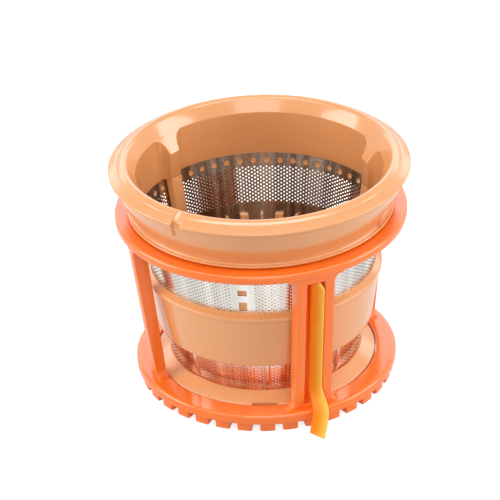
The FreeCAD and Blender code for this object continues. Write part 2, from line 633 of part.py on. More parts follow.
long_rib = loft(frame, "long_rib", [
    level_outline(frame, "long_rib_low_profile", "rib_plane", "rib_sink", [
        ("rib_foot_in", "rib_half_neg"),
        ("rib_foot_out", "rib_half_neg"),
        ("rib_foot_out", "rib_half"),
        ("rib_foot_in", "rib_half"),
    ]),
    level_outline(frame, "long_rib_high_profile", "rib_plane", "rib_head_low", [
        ("rib_head_in", "rib_half_neg"),
        ("rib_head_out", "rib_half_neg"),
        ("rib_head_out", "rib_half"),
        ("rib_head_in", "rib_half"),
    ]),
], True)
around(frame, "long_ribs", [long_rib], "rib_count")

revolve(frame, "flange", [
    ("bore_radius", "flange_lift"),
    ("flange_out", "flange_lift"),
    ("flange_out", "flange_high", "edge_round"),
    ("flange_inner", "flange_top"),
    ("seat_out_high", "flange_top"),
    ("seat_out", "seat_low"),
    ("seat_in", "seat_low"),
    ("seat_in_high", "flange_top"),
    ("bore_radius", "flange_top"),
])

cut_across(frame, "flange_recess", radial_outline(frame, "flange_recess_profile", "recess_plane", [
    ("recess_in", "recess_floor"),
    ("recess_far", "recess_floor"),
    ("recess_far", "recess_over"),
    ("recess_in", "recess_over"),
]), "recess_wide")

# short ribs inside the sieve, wide and thin in turn
stud_corners = [
    ("stud_foot_in", "stud_sink"),
    ("stud_foot_out", "stud_sink"),
    ("stud_out", "stud_top"),
    ("stud_in", "stud_top"),
]
wide_stud = pad(frame, "wide_stud", radial_outline(frame, "wide_stud_profile", "rib_plane", stud_corners),
                "stud_wide")
around(frame, "wide_studs", [wide_stud], "stud_count")
thin_stud = pad(frame, "thin_stud", radial_outline(frame, "thin_stud_profile", "thin_plane", stud_corners),
                "stud_thin")
around(frame, "thin_studs", [thin_stud], "stud_count")

# necks through the sheet carry the middle band
neck = pad(frame, "neck", radial_outline(frame, "neck_profile", "rib_plane", [
    ("neck_low_in", "neck_low"),
    ("neck_low_out", "neck_low"),
    ("neck_high_out", "neck_high"),
    ("neck_high_in", "neck_high"),
]), "neck_wide")
around(frame, "necks", [neck], "stud_count")
revolve(frame, "band", [
    ("band_in_low", "band_low"),
    ("band_out_low", "band_low", "edge_round"),
    ("band_out_high", "band_high"),
    ("bead_out", "bead_low"),
    ("bead_out", "bead_high", "lip_round"),
    ("shelf_out", "shelf_top"),
    ("shelf_in", "shelf_top"),
])

# mesh_sleeve: steel cone held in the moulding; its fine perforations are left out here
sleeve = new_body("mesh_sleeve")
revolve(sleeve, "sheet", [
    ("sleeve_foot_radius", "sleeve_low"),
    ("sleeve_foot_out", "sleeve_low"),
    ("sleeve_head_out", "sleeve_top"),
    ("sleeve_head_radius", "sleeve_top"),
])
crease = pad(sleeve, "crease", radial_outline(sleeve, "crease_profile", "crease_plane", [
    ("crease_low_in", "crease_low"),
    ("crease_low_out", "crease_low_ease"),
    ("crease_top_out", "crease_top_ease"),
    ("crease_top_in", "crease_high_end"),
]), "crease_wide")
around(sleeve, "creases", [crease], "crease_count")
neck_slot = cut_outwards(sleeve, "neck_slot", facing_outline(sleeve, "neck_slot_profile", "rib_turn", [
    ("slot_half_neg", "slot_low"),
    ("slot_half", "slot_low"),
    ("slot_half", "slot_high"),
    ("slot_half_neg", "slot_high"),
]))
around(sleeve, "neck_slots", [neck_slot], "stud_count")
high_hole = cut_outwards(sleeve, "high_hole", facing_outline(sleeve, "high_hole_profile", "rib_turn", [
    ("high_hole_half_neg", "high_hole_low"),
    ("high_hole_half", "high_hole_low"),
    ("high_hole_half", "high_hole_top"),
    ("high_hole_half_neg", "high_hole_top"),
]))
around(sleeve, "high_holes", [high_hole], "rib_count")
low_hole = cut_outwards(sleeve, "low_hole", facing_outline(sleeve, "low_hole_profile", "rib_turn", [
    ("low_hole_half_neg", "low_hole_low"),
    ("low_hole_half", "low_hole_low"),
    ("low_hole_half", "low_hole_top"),
    ("low_hole_half_neg", "low_hole_top"),
]))
around(sleeve, "low_holes", [low_hole], "rib_count")
anchor_sketch = attach(sleeve, "anchor_profile", "XZ_Plane", "rib_turn", FreeCAD.Vector(0, 1, 0),
                       start="cut_start")
anchor_sketch.addGeometry(Part.Circle(FreeCAD.Vector(0, size("anchor_high"), 0), FreeCAD.Vector(0, 0, 1),
                                      size("anchor_bore") / 2), False)
anchor_sketch.addConstraint(Sketcher.Constraint("PointOnObject", 0, 3, -2))
number = anchor_sketch.addConstraint(Sketcher.Constraint("DistanceY", -1, 1, 0, 3, size("anchor_high")))
anchor_sketch.setExpression("Constraints[%d]" % number, "dims.anchor_high")
number = anchor_sketch.addConstraint(Sketcher.Constraint("Diameter", 0, size("anchor_bore")))
anchor_sketch.setExpression("Constraints[%d]" % number, "dims.anchor_bore")
anchor = cut_outwards(sleeve, "anchor_hole", anchor_sketch)
around(sleeve, "anchor_holes", [anchor], "anchor_count")

# brush_cage: two rings, two slotted wiper posts, two plain bars and a ring of teeth
cage = new_body("brush_cage")
revolve(cage, "toothed_ring", [
    ("ring_bore", "ring_low"),
    ("tooth_in", "ring_low"),
    ("tooth_in", "zero"),
    ("tooth_out", "zero"),
    ("tooth_out", "ring_low"),
    ("ring_out", "ring_low", "step_round"),
    ("ring_out", "ring_top", "ring_round"),
    ("ring_bore", "ring_top"),
])
post_corners = [
    ("post_in_low", "post_low"),
    ("post_out_low", "post_low"),
    ("post_out_high", "post_high"),
    ("post_in_high", "post_high"),
]


def post(name, turn, plane, foot_wide, half, clear):
    # an upright between the rings, its sides rounded into them
    upright = pad(cage, name, radial_outline(cage, name + "_profile", plane, post_corners), foot_wide)
    right_side = cut_outwards(cage, name + "_right", facing_outline(cage, name + "_right_profile", turn, [
        (half, "ring_top", "window_round"),
        (clear, "ring_top"),
        (clear, "hoop_low"),
        (half, "hoop_low", "window_round"),
    ]))
    left_side = cut_outwards(cage, name + "_left", facing_outline(cage, name + "_left_profile", turn, [
        (half + "_neg", "ring_top", "window_round"),
        (clear + "_neg", "ring_top"),
        (clear + "_neg", "hoop_low"),
        (half + "_neg", "hoop_low", "window_round"),
    ]))
    return [upright, right_side, left_side]


wiper_post = post("wiper_post", "post_turn", "post_plane", "post_foot_wide", "post_half", "post_clear")
gate = cut_outwards(cage, "wiper_slot", facing_outline(cage, "wiper_slot_profile", "post_turn", [
    ("gate_half_neg", "sill"),
    ("gate_half", "sill"),
    ("gate_half", "lintel"),
    ("gate_half_neg", "lintel"),
]))
around(cage, "wiper_posts", wiper_post + [gate], 2)
plain_bar = post("plain_bar", "bar_turn", "bar_plane", "bar_foot_wide", "bar_half", "bar_clear")
around(cage, "plain_bars", plain_bar, 2)
revolve(cage, "hoop", [
    ("hoop_bore", "hoop_low"),
    ("hoop_out", "hoop_low", "ring_round"),
    ("hoop_out", "hoop_top", "ring_round"),
    ("hoop_bore", "hoop_top", "step_round"),
])
tooth_space = cut_outwards(cage, "tooth_space", facing_outline(cage, "tooth_space_profile", "tooth_turn", [
    ("tooth_half_neg", "tooth_under"),
    ("tooth_half", "tooth_under"),
    ("tooth_half", "ring_low"),
    ("tooth_half_neg", "ring_low"),
]))
around(cage, "tooth_spaces", [tooth_space], "tooth_count")


def blade_section(body, name, plane, height, inner, inner_side, outer, outer_side):
    return level_outline(body, name, plane, height, [
        (inner, inner_side),
        (outer, outer_side),
        (outer + "_back", outer_side + "_back"),
        (inner + "_back", inner_side + "_back"),
    ])


def wiper(label, plane):
    # silicone blade: a root bar in the slot, a slanting blade and a tail outside the lower ring
    body = new_body(label)
    foot = []
    for name, height, inner, outer in (("foot_low_profile", "foot_low", "foot_low_in", "foot_low_out"),
                                       ("foot_high_profile", "foot_high", "foot_high_in", "foot_high_out")):
        foot.append(level_outline(body, label + "_" + name, plane, height, [
            (inner, "foot_left"),
            (outer, "foot_left"),
            (outer, "foot_right"),
            (inner, "foot_right"),
        ]))
    loft(body, label + "_root", foot, True)
    loft(body, label + "_blade", [
        blade_section(body, label + "_bend", plane, "bend_high", "bend_a", "blade_start", "bend_b",
                      "blade_swing"),
        blade_section(body, label + "_corner", plane, "blade_corner", "corner_a", "blade_start", "corner_b",
                      "blade_swing"),
        blade_section(body, label + "_top", plane, "blade_top", "top_a", "blade_start", "top_b",
                      "top_swing"),
    ], True)
    loft(body, label + "_tail", [
        blade_section(body, label + "_tail_bend", plane, "bend_high", "bend_a", "blade_start", "bend_b",
                      "blade_swing"),
        blade_section(body, label + "_knee", plane, "knee_high", "knee_in", "knee_start", "knee_b",
                      "knee_swing"),
        blade_section(body, label + "_tail_middle", plane, "tail_high", "tail_a", "tail_start", "tail_b",
                      "tail_swing"),
        blade_section(body, label + "_tip", plane, "tip_lift", "tip_a", "tip_start", "tip_b", "tip_swing"),
    ], False)
    return body


front_wiper = wiper("wiper_front", "post_plane")
back_wiper = wiper("wiper_back", "wiper_back_plane")

doc.recompute()
for item in doc.Objects:
    if "Invalid" in item.State or "Error" in item.State:
        raise RuntimeError(item.Label + " did not build")
os.makedirs("parts", exist_ok=True)
for body in (frame, sleeve, cage, front_wiper, back_wiper):
    shape = body.Shape
    if not shape.isValid() or len(shape.Solids) != 1:
        raise RuntimeError("%s: valid %s, solids %d" % (body.Label, shape.isValid(), len(shape.Solids)))
    shape.exportStep("parts/%s.step" % body.Label)
    print(body.Label, round(shape.Volume), shape.BoundBox)
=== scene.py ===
import bpy
import bmesh
import math
from mathutils import Matrix, Vector
from mathutils.kdtree import KDTree


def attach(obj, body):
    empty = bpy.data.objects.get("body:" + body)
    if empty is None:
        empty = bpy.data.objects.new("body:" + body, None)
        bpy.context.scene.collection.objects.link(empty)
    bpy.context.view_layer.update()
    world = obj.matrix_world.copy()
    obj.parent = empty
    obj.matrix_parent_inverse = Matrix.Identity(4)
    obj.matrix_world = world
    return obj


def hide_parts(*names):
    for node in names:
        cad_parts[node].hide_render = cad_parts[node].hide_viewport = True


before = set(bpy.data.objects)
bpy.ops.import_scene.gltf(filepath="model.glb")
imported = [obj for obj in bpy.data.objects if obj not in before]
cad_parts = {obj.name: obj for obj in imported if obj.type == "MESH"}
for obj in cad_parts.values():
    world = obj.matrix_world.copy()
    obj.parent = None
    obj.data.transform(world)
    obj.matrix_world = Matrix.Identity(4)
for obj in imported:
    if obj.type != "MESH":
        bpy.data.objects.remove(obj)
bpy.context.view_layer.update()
mm = 0.001
white = (1.0, 1.0, 1.0, 1.0)
scene = bpy.context.scene
print("frame loaded", len(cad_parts), "nodes")

# where the photograph was taken from, fitted to its outlines
shot = {
    "azimuth": 19.0,
    "elevation": 29.833,
    "distance": 800.0,
    "targetHeight": 47.3,
    "focalPixels": 2110.31,
    "frameWidth": 500.0,
    "targetRight": 12.511,  # pixels from the middle of the picture
    "targetDown": 4.96,
    "roll": -2.2137,
    "sensorWidth": 36.0,
    "clipFrom": 0.05,  # metres
    "clipTo": 20.0,
}


def setCamera(s):
    az, el, roll = (math.radians(s[k]) for k in ("azimuth", "elevation", "roll"))
    back = Vector((math.sin(az) * math.cos(el), -math.cos(az) * math.cos(el), math.sin(el)))
    target = Vector((0, 0, s["targetHeight"] * mm))
    ahead = -back
    right = ahead.cross(Vector((0, 0, 1))).normalized()
    up = right.cross(ahead)
    yaw = math.atan2(s["targetRight"], s["focalPixels"])
    pitch = math.atan2(-s["targetDown"], s["focalPixels"])
    aheadTurned = ahead * math.cos(yaw) - right * math.sin(yaw)
    rightTurned = right * math.cos(yaw) + ahead * math.sin(yaw)
    aheadEnd = aheadTurned * math.cos(pitch) - up * math.sin(pitch)
    upTurned = up * math.cos(pitch) + aheadTurned * math.sin(pitch)
    rightEnd = rightTurned * math.cos(roll) + upTurned * math.sin(roll)
    upEnd = upTurned * math.cos(roll) - rightTurned * math.sin(roll)
    lens = bpy.data.cameras.new("shotCamera")
    lens.sensor_width = s["sensorWidth"]
    lens.lens = s["focalPixels"] * s["sensorWidth"] / s["frameWidth"]
    lens.clip_start = s["clipFrom"]
    lens.clip_end = s["clipTo"]
    cam = bpy.data.objects.new("shotCamera", lens)
    scene.collection.objects.link(cam)
    turn = Matrix((rightEnd, upEnd, -aheadEnd)).transposed().to_4x4()
    cam.matrix_world = Matrix.Translation(target + back * s["distance"] * mm) @ turn
    scene.camera = cam


setCamera(shot)
print("camera set")


# small tools for meshes

def roundedOutline(corners, steps=7):
    # corners are (across, up) or (across, up, rounding) in millimetres
    points = []
    count = len(corners)
    for i, corner in enumerate(corners):
        here = Vector(corner[:2])
        if len(corner) == 2:
            points.append(here)
            continue
        toLast = (Vector(corners[i - 1][:2]) - here).normalized()
        toNext = (Vector(corners[(i + 1) % count][:2]) - here).normalized()
        half = toLast.angle(toNext) / 2
        centre = here + (toLast + toNext).normalized() * (corner[2] / math.sin(half))
        first = here + toLast * (corner[2] / math.tan(half)) - centre
        last = here + toNext * (corner[2] / math.tan(half)) - centre
        sweep = first.angle_signed(last)
        for k in range(steps + 1):
            turn = -sweep * k / steps
            points.append(centre + Vector((first.x * math.cos(turn) - first.y * math.sin(turn),
                                           first.x * math.sin(turn) + first.y * math.cos(turn))))
    return points


def dense(points, longest=3.0):
    # splits long runs of a closed outline, so that shading stays even
    out = []
    for i, a in enumerate(points):
        b = points[(i + 1) % len(points)]
        parts = max(1, math.ceil((b - a).length / longest))
        for k in range(parts):
            out.append(a.lerp(b, k / parts))
    return out


def atTurn(outwards, sideways, height, turn=0.0):
    # a place in millimetres, outwards at an angle from the front (-Y) towards +X
    a = math.radians(turn)
    return Vector((outwards * math.sin(a) + sideways * math.cos(a),
                   -outwards * math.cos(a) + sideways * math.sin(a), height)) * mm


def joinRows(bm, rows):
    # walls between closed rows of points
    for a, b in zip(rows, rows[1:]):
        for i in range(len(a)):
            j = (i + 1) % len(a)
            bm.faces.new((a[i], a[j], b[j], b[i]))


def addLathe(bm, outline, segments=288):
    rings = []
    for k in range(segments):
        turn = 360.0 * k / segments
        rings.append([bm.verts.new(atTurn(p.x, 0, p.y, turn)) for p in outline])
    joinRows(bm, rings + rings[:1])


def addLoft(bm, sections):
    # joins rings of points; ends are capped
    rows = [[bm.verts.new(p) for p in ring] for ring in sections]
    joinRows(bm, rows)
    bm.faces.new(rows[0][::-1])
    bm.faces.new(rows[-1])


def meshFrom(bm, name, sharp=32.0, turnFaces=True):
    if turnFaces:
        bmesh.ops.recalc_face_normals(bm, faces=bm.faces)
    mesh = bpy.data.meshes.new(name)
    bm.to_mesh(mesh)
    bm.free()
    mesh.shade_smooth()
    mesh.set_sharp_from_angle(angle=math.radians(sharp))
    return mesh


def objectFrom(mesh, name, material=None):
    obj = bpy.data.objects.new(name, mesh)
    scene.collection.objects.link(obj)
    if material:
        mesh.materials.clear()
        mesh.materials.append(material)
    return obj


def settle(obj, sharp=32.0):
    # turns modifiers into plain mesh
    graph = bpy.context.evaluated_depsgraph_get()
    mesh = bpy.data.meshes.new_from_object(obj.evaluated_get(graph))
    obj.modifiers.clear()
    old = obj.data
    obj.data = mesh
    mesh.name = obj.name
    if old.users == 0:
        bpy.data.meshes.remove(old)
    mesh.shade_smooth()
    mesh.set_sharp_from_angle(angle=math.radians(sharp))
    return obj


def softenEdges(obj, width, angle=40.0, segments=3):
    edge = obj.modifiers.new("softEdges", "BEVEL")
    edge.width = width * mm
    edge.segments = segments
    edge.limit_method = "ANGLE"
    edge.angle_limit = math.radians(angle)
    return obj


# shader tools

def fromScreen(r, g, b):
    # screen colour 0-255 to linear
    def one(c):
        c = c / 255.0
        return c / 12.92 if c <= 0.04045 else ((c + 0.055) / 1.055) ** 2.4
    return (one(r), one(g), one(b), 1.0)


def setInputs(node, values):
    for name, value in values.items():
        node.inputs[name].default_value = value


def mathNode(nodes, links, operation, *values):
    node = nodes.new("ShaderNodeMath")
    node.operation = operation
    for i, value in enumerate(values):
        if isinstance(value, (int, float)):
            node.inputs[i].default_value = value
        else:
            links.new(value, node.inputs[i])
    return node.outputs[0]


def vectorNode(nodes, links, operation, source, other=None):
    node = nodes.new("ShaderNodeVectorMath")
    node.operation = operation
    links.new(source, node.inputs[0])
    if other:
        node.inputs[1].default_value = other
    return node.outputs["Vector"]


def rangeNode(nodes, links, source, given, wanted=(0.0, 1.0)):
    # moves a value from one span to another
    node = nodes.new("ShaderNodeMapRange")
    setInputs(node, dict(zip(("From Min", "From Max", "To Min", "To Max"), (*given, *wanted))))
    links.new(source, node.inputs["Value"])
    return node.outputs["Result"]


def rampNode(nodes, links, source, stops):
    # colours along a value; a stop is its place and its colour
    node = nodes.new("ShaderNodeValToRGB")
    elements = node.color_ramp.elements
    elements.remove(elements[1])
    elements[0].position = stops[0][0]
    elements[0].color = stops[0][1]
    for place, colour in stops[1:]:
        elements.new(place).color = colour
    links.new(source, node.inputs["Fac"])
    return node.outputs["Color"]


def mixNode(nodes, links, blend, share, first, second):
    # the colour sockets of this node are known by number
    node = nodes.new("ShaderNodeMix")
    node.data_type = "RGBA"
    node.blend_type = blend
    if isinstance(share, float):
        node.inputs[0].default_value = share
    else:
        links.new(share, node.inputs[0])
    links.new(first, node.inputs[6])
    links.new(second, node.inputs[7])
    return node.outputs[2]


def fineGrain():
    # faint clouds of tone and a fine surface grain, shared by the mouldings and the silicone
    group = bpy.data.node_groups.new("fineGrain", "ShaderNodeTree")
    nodes, links = group.nodes, group.links
    layers = (("cloud", "cloudScale", 40.0, 3.0), ("grain", "grainScale", 900.0, 2.0))
    kind = "NodeSocketFloat"
    for out, scaleName, scale, detail in layers:
        group.interface.new_socket(scaleName, in_out="INPUT", socket_type=kind).default_value = scale
    for out, scaleName, scale, detail in layers:
        group.interface.new_socket(out, in_out="OUTPUT", socket_type=kind)
    inlet = nodes.new("NodeGroupInput")
    outlet = nodes.new("NodeGroupOutput")
    where = nodes.new("ShaderNodeTexCoord")
    for out, scaleName, scale, detail in layers:
        noise = nodes.new("ShaderNodeTexNoise")
        noise.inputs["Detail"].default_value = detail
        links.new(where.outputs["Object"], noise.inputs["Vector"])
        links.new(inlet.outputs[scaleName], noise.inputs["Scale"])
        links.new(noise.outputs["Fac"], outlet.inputs[out])
    return group


grainGroup = fineGrain()


def newMaterial(name):
    mat = bpy.data.materials.new(name)
    mat.use_nodes = True
    return mat, mat.node_tree.nodes, mat.node_tree.links, mat.node_tree.nodes["Principled BSDF"]


def addGrain(nodes, links, shader, tone):
    # the grain bumps the surface; the cloud is left for tone and gloss
    grain = nodes.new("ShaderNodeGroup")
    grain.node_tree = grainGroup
    setInputs(grain, {"cloudScale": tone["cloudScale"], "grainScale": tone["grainScale"]})
    bump = nodes.new("ShaderNodeBump")
    setInputs(bump, {"Strength": tone["bump"], "Distance": tone["grainDepth"] * mm})
    links.new(grain.outputs["grain"], bump.inputs["Height"])
    links.new(bump.outputs["Normal"], shader.inputs["Normal"])
    return grain.outputs["cloud"]


def setGlow(shader, tone):
    setInputs(shader, {
        "Subsurface Weight": tone["glow"],
        "Subsurface Radius": tone["glowSpread"],
        "Subsurface Scale": tone["glowDepth"] * mm,
    })


# what the beige and the orange moulding share
moulding = {
    "cloudScale": 35.0,
    "cloudSpan": (0.2, 0.8),
    "grainScale": 1400.0,
    "grainDepth": 0.1,
    "bump": 0.06,
    "roughness": (0.19, 0.25),
    "specular": 0.5,
    "coatRoughness": 0.08,
    "glow": 0.05,
    "glowSpread": (1.0, 0.45, 0.2),
    "glowDepth": 1.5,
}
beige = {"deep": (229, 158, 99), "light": (233, 163, 104), "coat": 0.5}
orange = {"deep": (254, 119, 27), "light": (255, 124, 32), "coat": 0.35}


def mouldedPlastic(name, colours, tone):
    mat, nodes, links, shader = newMaterial(name)
    cloud = addGrain(nodes, links, shader, tone)
    tints = (fromScreen(*colours["deep"]), fromScreen(*colours["light"]))
    colour = rampNode(nodes, links, cloud, list(zip(tone["cloudSpan"], tints)))
    gloss = rangeNode(nodes, links, cloud, (0.0, 1.0), tone["roughness"])
    links.new(colour, shader.inputs["Base Color"])
    links.new(gloss, shader.inputs["Roughness"])
    setInputs(shader, {
        "Specular IOR Level": tone["specular"],
        "Coat Weight": colours["coat"],
        "Coat Roughness": tone["coatRoughness"],
    })
    setGlow(shader, tone)
    return mat


beigePlastic = mouldedPlastic("beigePlastic", beige, moulding)
orangePlastic = mouldedPlastic("orangePlastic", orange, moulding)

steel = {
    # the streaks paint reflections into the steel colour and also vary its roughness
    "reflectionStreakScale": 9.0,
    "reflectionStreakDetail": 3.0,
    "reflectionStreakSpan": (0.4, 0.64),
    # painted shade on the inner face, lit tone on the outer face: two copies of one steel
    "shadedInside": ((136, 119, 104), (212, 203, 191)),
    "litOutside": ((214, 214, 208), (236, 236, 231)),
    "facingSpan": (-0.3, 0.3),
    "paintedRingReflection": (0.95, 0.4, 0.27, 1.0),  # painted reflection of the orange ring, tinting the foot of the sheet
    "paintedRingReflectionSpan": (10.0, 20.0),
    "roughness": (0.13, 0.24),
}


def sieveSteelMaterial(s):
    # painted light: a lit tone outside and a painted shade inside, with broad upright streaks of painted
    # reflection
    mat, nodes, links, shader = newMaterial("sieveSteel")
    where = nodes.new("ShaderNodeTexCoord")
    level = vectorNode(nodes, links, "MULTIPLY", where.outputs["Object"], (1.0, 1.0, 0.0))
    outwards = vectorNode(nodes, links, "NORMALIZE", level)
    noise = nodes.new("ShaderNodeTexNoise")
    setInputs(noise, {"Scale": s["reflectionStreakScale"], "Detail": s["reflectionStreakDetail"]})
    links.new(outwards, noise.inputs["Vector"])
    reflectionAndGlossStreaks = noise.outputs["Fac"]
    facing = nodes.new("ShaderNodeVectorMath")
    facing.operation = "DOT_PRODUCT"
    links.new(outwards, facing.inputs[0])
    links.new(where.outputs["Normal"], facing.inputs[1])
    tones = []
    for side in ("shadedInside", "litOutside"):
        stops = [(place, fromScreen(*tint)) for place, tint in zip(s["reflectionStreakSpan"], s[side])]
        tones.append(rampNode(nodes, links, reflectionAndGlossStreaks, stops))
    litOutside = rangeNode(nodes, links, facing.outputs["Value"], s["facingSpan"])
    plain = mixNode(nodes, links, "MIX", litOutside, *tones)
    # painted reflection of the orange ring, strongest at the foot of the sheet
    height = nodes.new("ShaderNodeSeparateXYZ")
    links.new(where.outputs["Object"], height.inputs["Vector"])
    ring = rangeNode(nodes, links, height.outputs["Z"], [z * mm for z in s["paintedRingReflectionSpan"]])
    paintedRingReflection = rampNode(nodes, links, ring, ((0.0, s["paintedRingReflection"]), (1.0, white)))
    links.new(mixNode(nodes, links, "MULTIPLY", 1.0, plain, paintedRingReflection), shader.inputs["Base Color"])
    gloss = rangeNode(nodes, links, reflectionAndGlossStreaks, (0.0, 1.0), s["roughness"])
    links.new(gloss, shader.inputs["Roughness"])
    shader.inputs["Metallic"].default_value = 1.0
    return mat


sieveSteel = sieveSteelMaterial(steel)

silicone = {
    "cloudScale": 120.0,
    "cloudShift": 0.12,
    "grainScale": 1500.0,
    "grainDepth": 0.1,
    "bump": 0.05,
    # share of the way from the root to the free edge, with the colour there; the dark red-orange at the root
    # is painted shade and the yellow at the free edge is painted light shining through the thin blade
    "stops": ((0.06, (236, 78, 6)), (0.3, (252, 122, 0)), (0.72, (255, 148, 0)), (1.0, (255, 192, 72))),
    "roughness": 0.42,
    "specular": 0.25,
    "glow": 0.3,
    "glowSpread": (1.0, 0.5, 0.12),
    "glowDepth": 2.0,
}


def wiperSiliconeMaterial(s):
    # red-orange at the root, orange along the blade, yellow towards the free edge: painted shade at the root
    # and painted light shining through the free edge
    mat, nodes, links, shader = newMaterial("wiperSilicone")
    uv = nodes.new("ShaderNodeUVMap")
    uv.uv_map = "across"
    split = nodes.new("ShaderNodeSeparateXYZ")
    links.new(uv.outputs["UV"], split.inputs["Vector"])
    cloud = addGrain(nodes, links, shader, s)
    share = mathNode(nodes, links, "MULTIPLY_ADD", cloud, s["cloudShift"], split.outputs["X"])
    stops = [(place, fromScreen(*tint)) for place, tint in s["stops"]]
    links.new(rampNode(nodes, links, share, stops), shader.inputs["Base Color"])
    setInputs(shader, {"Roughness": s["roughness"], "Specular IOR Level": s["specular"]})
    setGlow(shader, s)
    return mat


wiperSilicone = wiperSiliconeMaterial(silicone)
print("materials made")


# geometry node trees

def treeWith(name, inputs):
    tree = bpy.data.node_groups.new(name, "GeometryNodeTree")
    tree.interface.new_socket("Geometry", in_out="INPUT", socket_type="NodeSocketGeometry")
    for label, kind in inputs:
        tree.interface.new_socket(label, in_out="INPUT", socket_type=kind)
    tree.interface.new_socket("Geometry", in_out="OUTPUT", socket_type="NodeSocketGeometry")
    return tree, tree.nodes, tree.links, tree.nodes.new("NodeGroupInput"), tree.nodes.new("NodeGroupOutput")


def paintAndEnd(nodes, links, inlet, outlet, geometry):
    paint = nodes.new("GeometryNodeSetMaterial")
    links.new(geometry, paint.inputs["Geometry"])
    links.new(inlet.outputs["finish"], paint.inputs["Material"])
    links.new(paint.outputs[0], outlet.inputs[0])


def ringArrayTree():
    # copies of the object's own mesh, turned round the upright axis
    tree, nodes, links, inlet, outlet = treeWith("ringArray", (
        ("copies", "NodeSocketInt"), ("finish", "NodeSocketMaterial")))
    spots = nodes.new("GeometryNodePoints")
    links.new(inlet.outputs["copies"], spots.inputs["Count"])
    index = nodes.new("GeometryNodeInputIndex")
    step = mathNode(nodes, links, "DIVIDE", 2 * math.pi, inlet.outputs["copies"])
    spin = nodes.new("ShaderNodeCombineXYZ")
    links.new(mathNode(nodes, links, "MULTIPLY", index.outputs[0], step), spin.inputs["Z"])
    copy = nodes.new("GeometryNodeInstanceOnPoints")
    links.new(spots.outputs[0], copy.inputs["Points"])
    links.new(inlet.outputs["Geometry"], copy.inputs["Instance"])
    links.new(spin.outputs[0], copy.inputs["Rotation"])
    real = nodes.new("GeometryNodeRealizeInstances")
    links.new(copy.outputs[0], real.inputs[0])
    paintAndEnd(nodes, links, inlet, outlet, real.outputs[0])
    return tree


def sievePanelTree():
    # a panel of punched cells, laid flat and then rolled onto the cone
    tree, nodes, links, inlet, outlet = treeWith("sievePanel", (
        ("columns", "NodeSocketInt"), ("rows", "NodeSocketInt"), ("columnPitch", "NodeSocketFloat"),
        ("rowPitch", "NodeSocketFloat"), ("lowHeight", "NodeSocketFloat"), ("lowRadius", "NodeSocketFloat"),
        ("slope", "NodeSocketFloat"), ("rollRadius", "NodeSocketFloat"), ("startTurn", "NodeSocketFloat"),
        ("finish", "NodeSocketMaterial")))
    nudge = 0.01  # keeps a whole quotient from falling to the number below
    touching = 0.004 * mm

    def calc(operation, *values):
        return mathNode(nodes, links, operation, *values)

    spots = nodes.new("GeometryNodePoints")
    links.new(calc("MULTIPLY", inlet.outputs["columns"], inlet.outputs["rows"]), spots.inputs["Count"])
    index = nodes.new("GeometryNodeInputIndex").outputs[0]
    column = calc("FLOOR", calc("DIVIDE", calc("ADD", index, nudge), inlet.outputs["rows"]))
    row = calc("SUBTRACT", index, calc("MULTIPLY", column, inlet.outputs["rows"]))
    flat = nodes.new("ShaderNodeCombineXYZ")
    links.new(calc("MULTIPLY", calc("ADD", column, 0.5), inlet.outputs["columnPitch"]), flat.inputs["X"])
    links.new(calc("MULTIPLY", calc("ADD", row, 0.5), inlet.outputs["rowPitch"]), flat.inputs["Y"])
    put = nodes.new("GeometryNodeSetPosition")
    links.new(spots.outputs[0], put.inputs["Geometry"])
    links.new(flat.outputs[0], put.inputs["Position"])
    copy = nodes.new("GeometryNodeInstanceOnPoints")
    links.new(put.outputs[0], copy.inputs["Points"])
    links.new(inlet.outputs["Geometry"], copy.inputs["Instance"])
    real = nodes.new("GeometryNodeRealizeInstances")
    links.new(copy.outputs[0], real.inputs[0])
    weld = nodes.new("GeometryNodeMergeByDistance")
    weld.inputs["Distance"].default_value = touching
    links.new(real.outputs[0], weld.inputs["Geometry"])
    place = nodes.new("ShaderNodeSeparateXYZ")
    links.new(nodes.new("GeometryNodeInputPosition").outputs[0], place.inputs[0])
    turn = calc("DIVIDE", place.outputs["X"], inlet.outputs["rollRadius"])
    turn = calc("ADD", turn, inlet.outputs["startTurn"])
    radius = calc("MULTIPLY_ADD", place.outputs["Y"], inlet.outputs["slope"], inlet.outputs["lowRadius"])
    radius = calc("ADD", radius, place.outputs["Z"])
    rolled = nodes.new("ShaderNodeCombineXYZ")
    links.new(calc("MULTIPLY", radius, calc("SINE", turn)), rolled.inputs["X"])
    links.new(calc("MULTIPLY", calc("MULTIPLY", radius, calc("COSINE", turn)), -1.0), rolled.inputs["Y"])
    links.new(calc("ADD", place.outputs["Y"], inlet.outputs["lowHeight"]), rolled.inputs["Z"])
    roll = nodes.new("GeometryNodeSetPosition")
    links.new(weld.outputs[0], roll.inputs["Geometry"])
    links.new(rolled.outputs[0], roll.inputs["Position"])
    paintAndEnd(nodes, links, inlet, outlet, roll.outputs[0])
    return tree


ringArray = ringArrayTree()
sievePanel = sievePanelTree()


def useTree(obj, tree, values):
    modifier = obj.modifiers.new(tree.name, "NODES")
    modifier.node_group = tree
    sockets = {item.name: item.identifier for item in tree.interface.items_tree
               if item.in_out == "INPUT" and item.socket_type != "NodeSocketGeometry"}
    for name, value in values.items():
        modifier[sockets[name]] = value


def ringCopies(obj, copies, finish, sharp=32.0):
    useTree(obj, ringArray, {"copies": copies, "finish": finish})
    return settle(obj, sharp)


def joinPieces(objs, name):
    # one plain mesh from several finished ones
    bm = bmesh.new()
    material = objs[0].data.materials[0]
    for obj in objs:
        bm.from_mesh(obj.data)
    mesh = bpy.data.meshes.new(name)
    bm.to_mesh(mesh)
    bm.free()
    mesh.materials.append(material)
    for poly in mesh.polygons:
        poly.material_index = 0
    for obj in objs:
        old = obj.data
        bpy.data.objects.remove(obj)
        if old.users == 0:
            bpy.data.meshes.remove(old)
    return objectFrom(mesh, name)


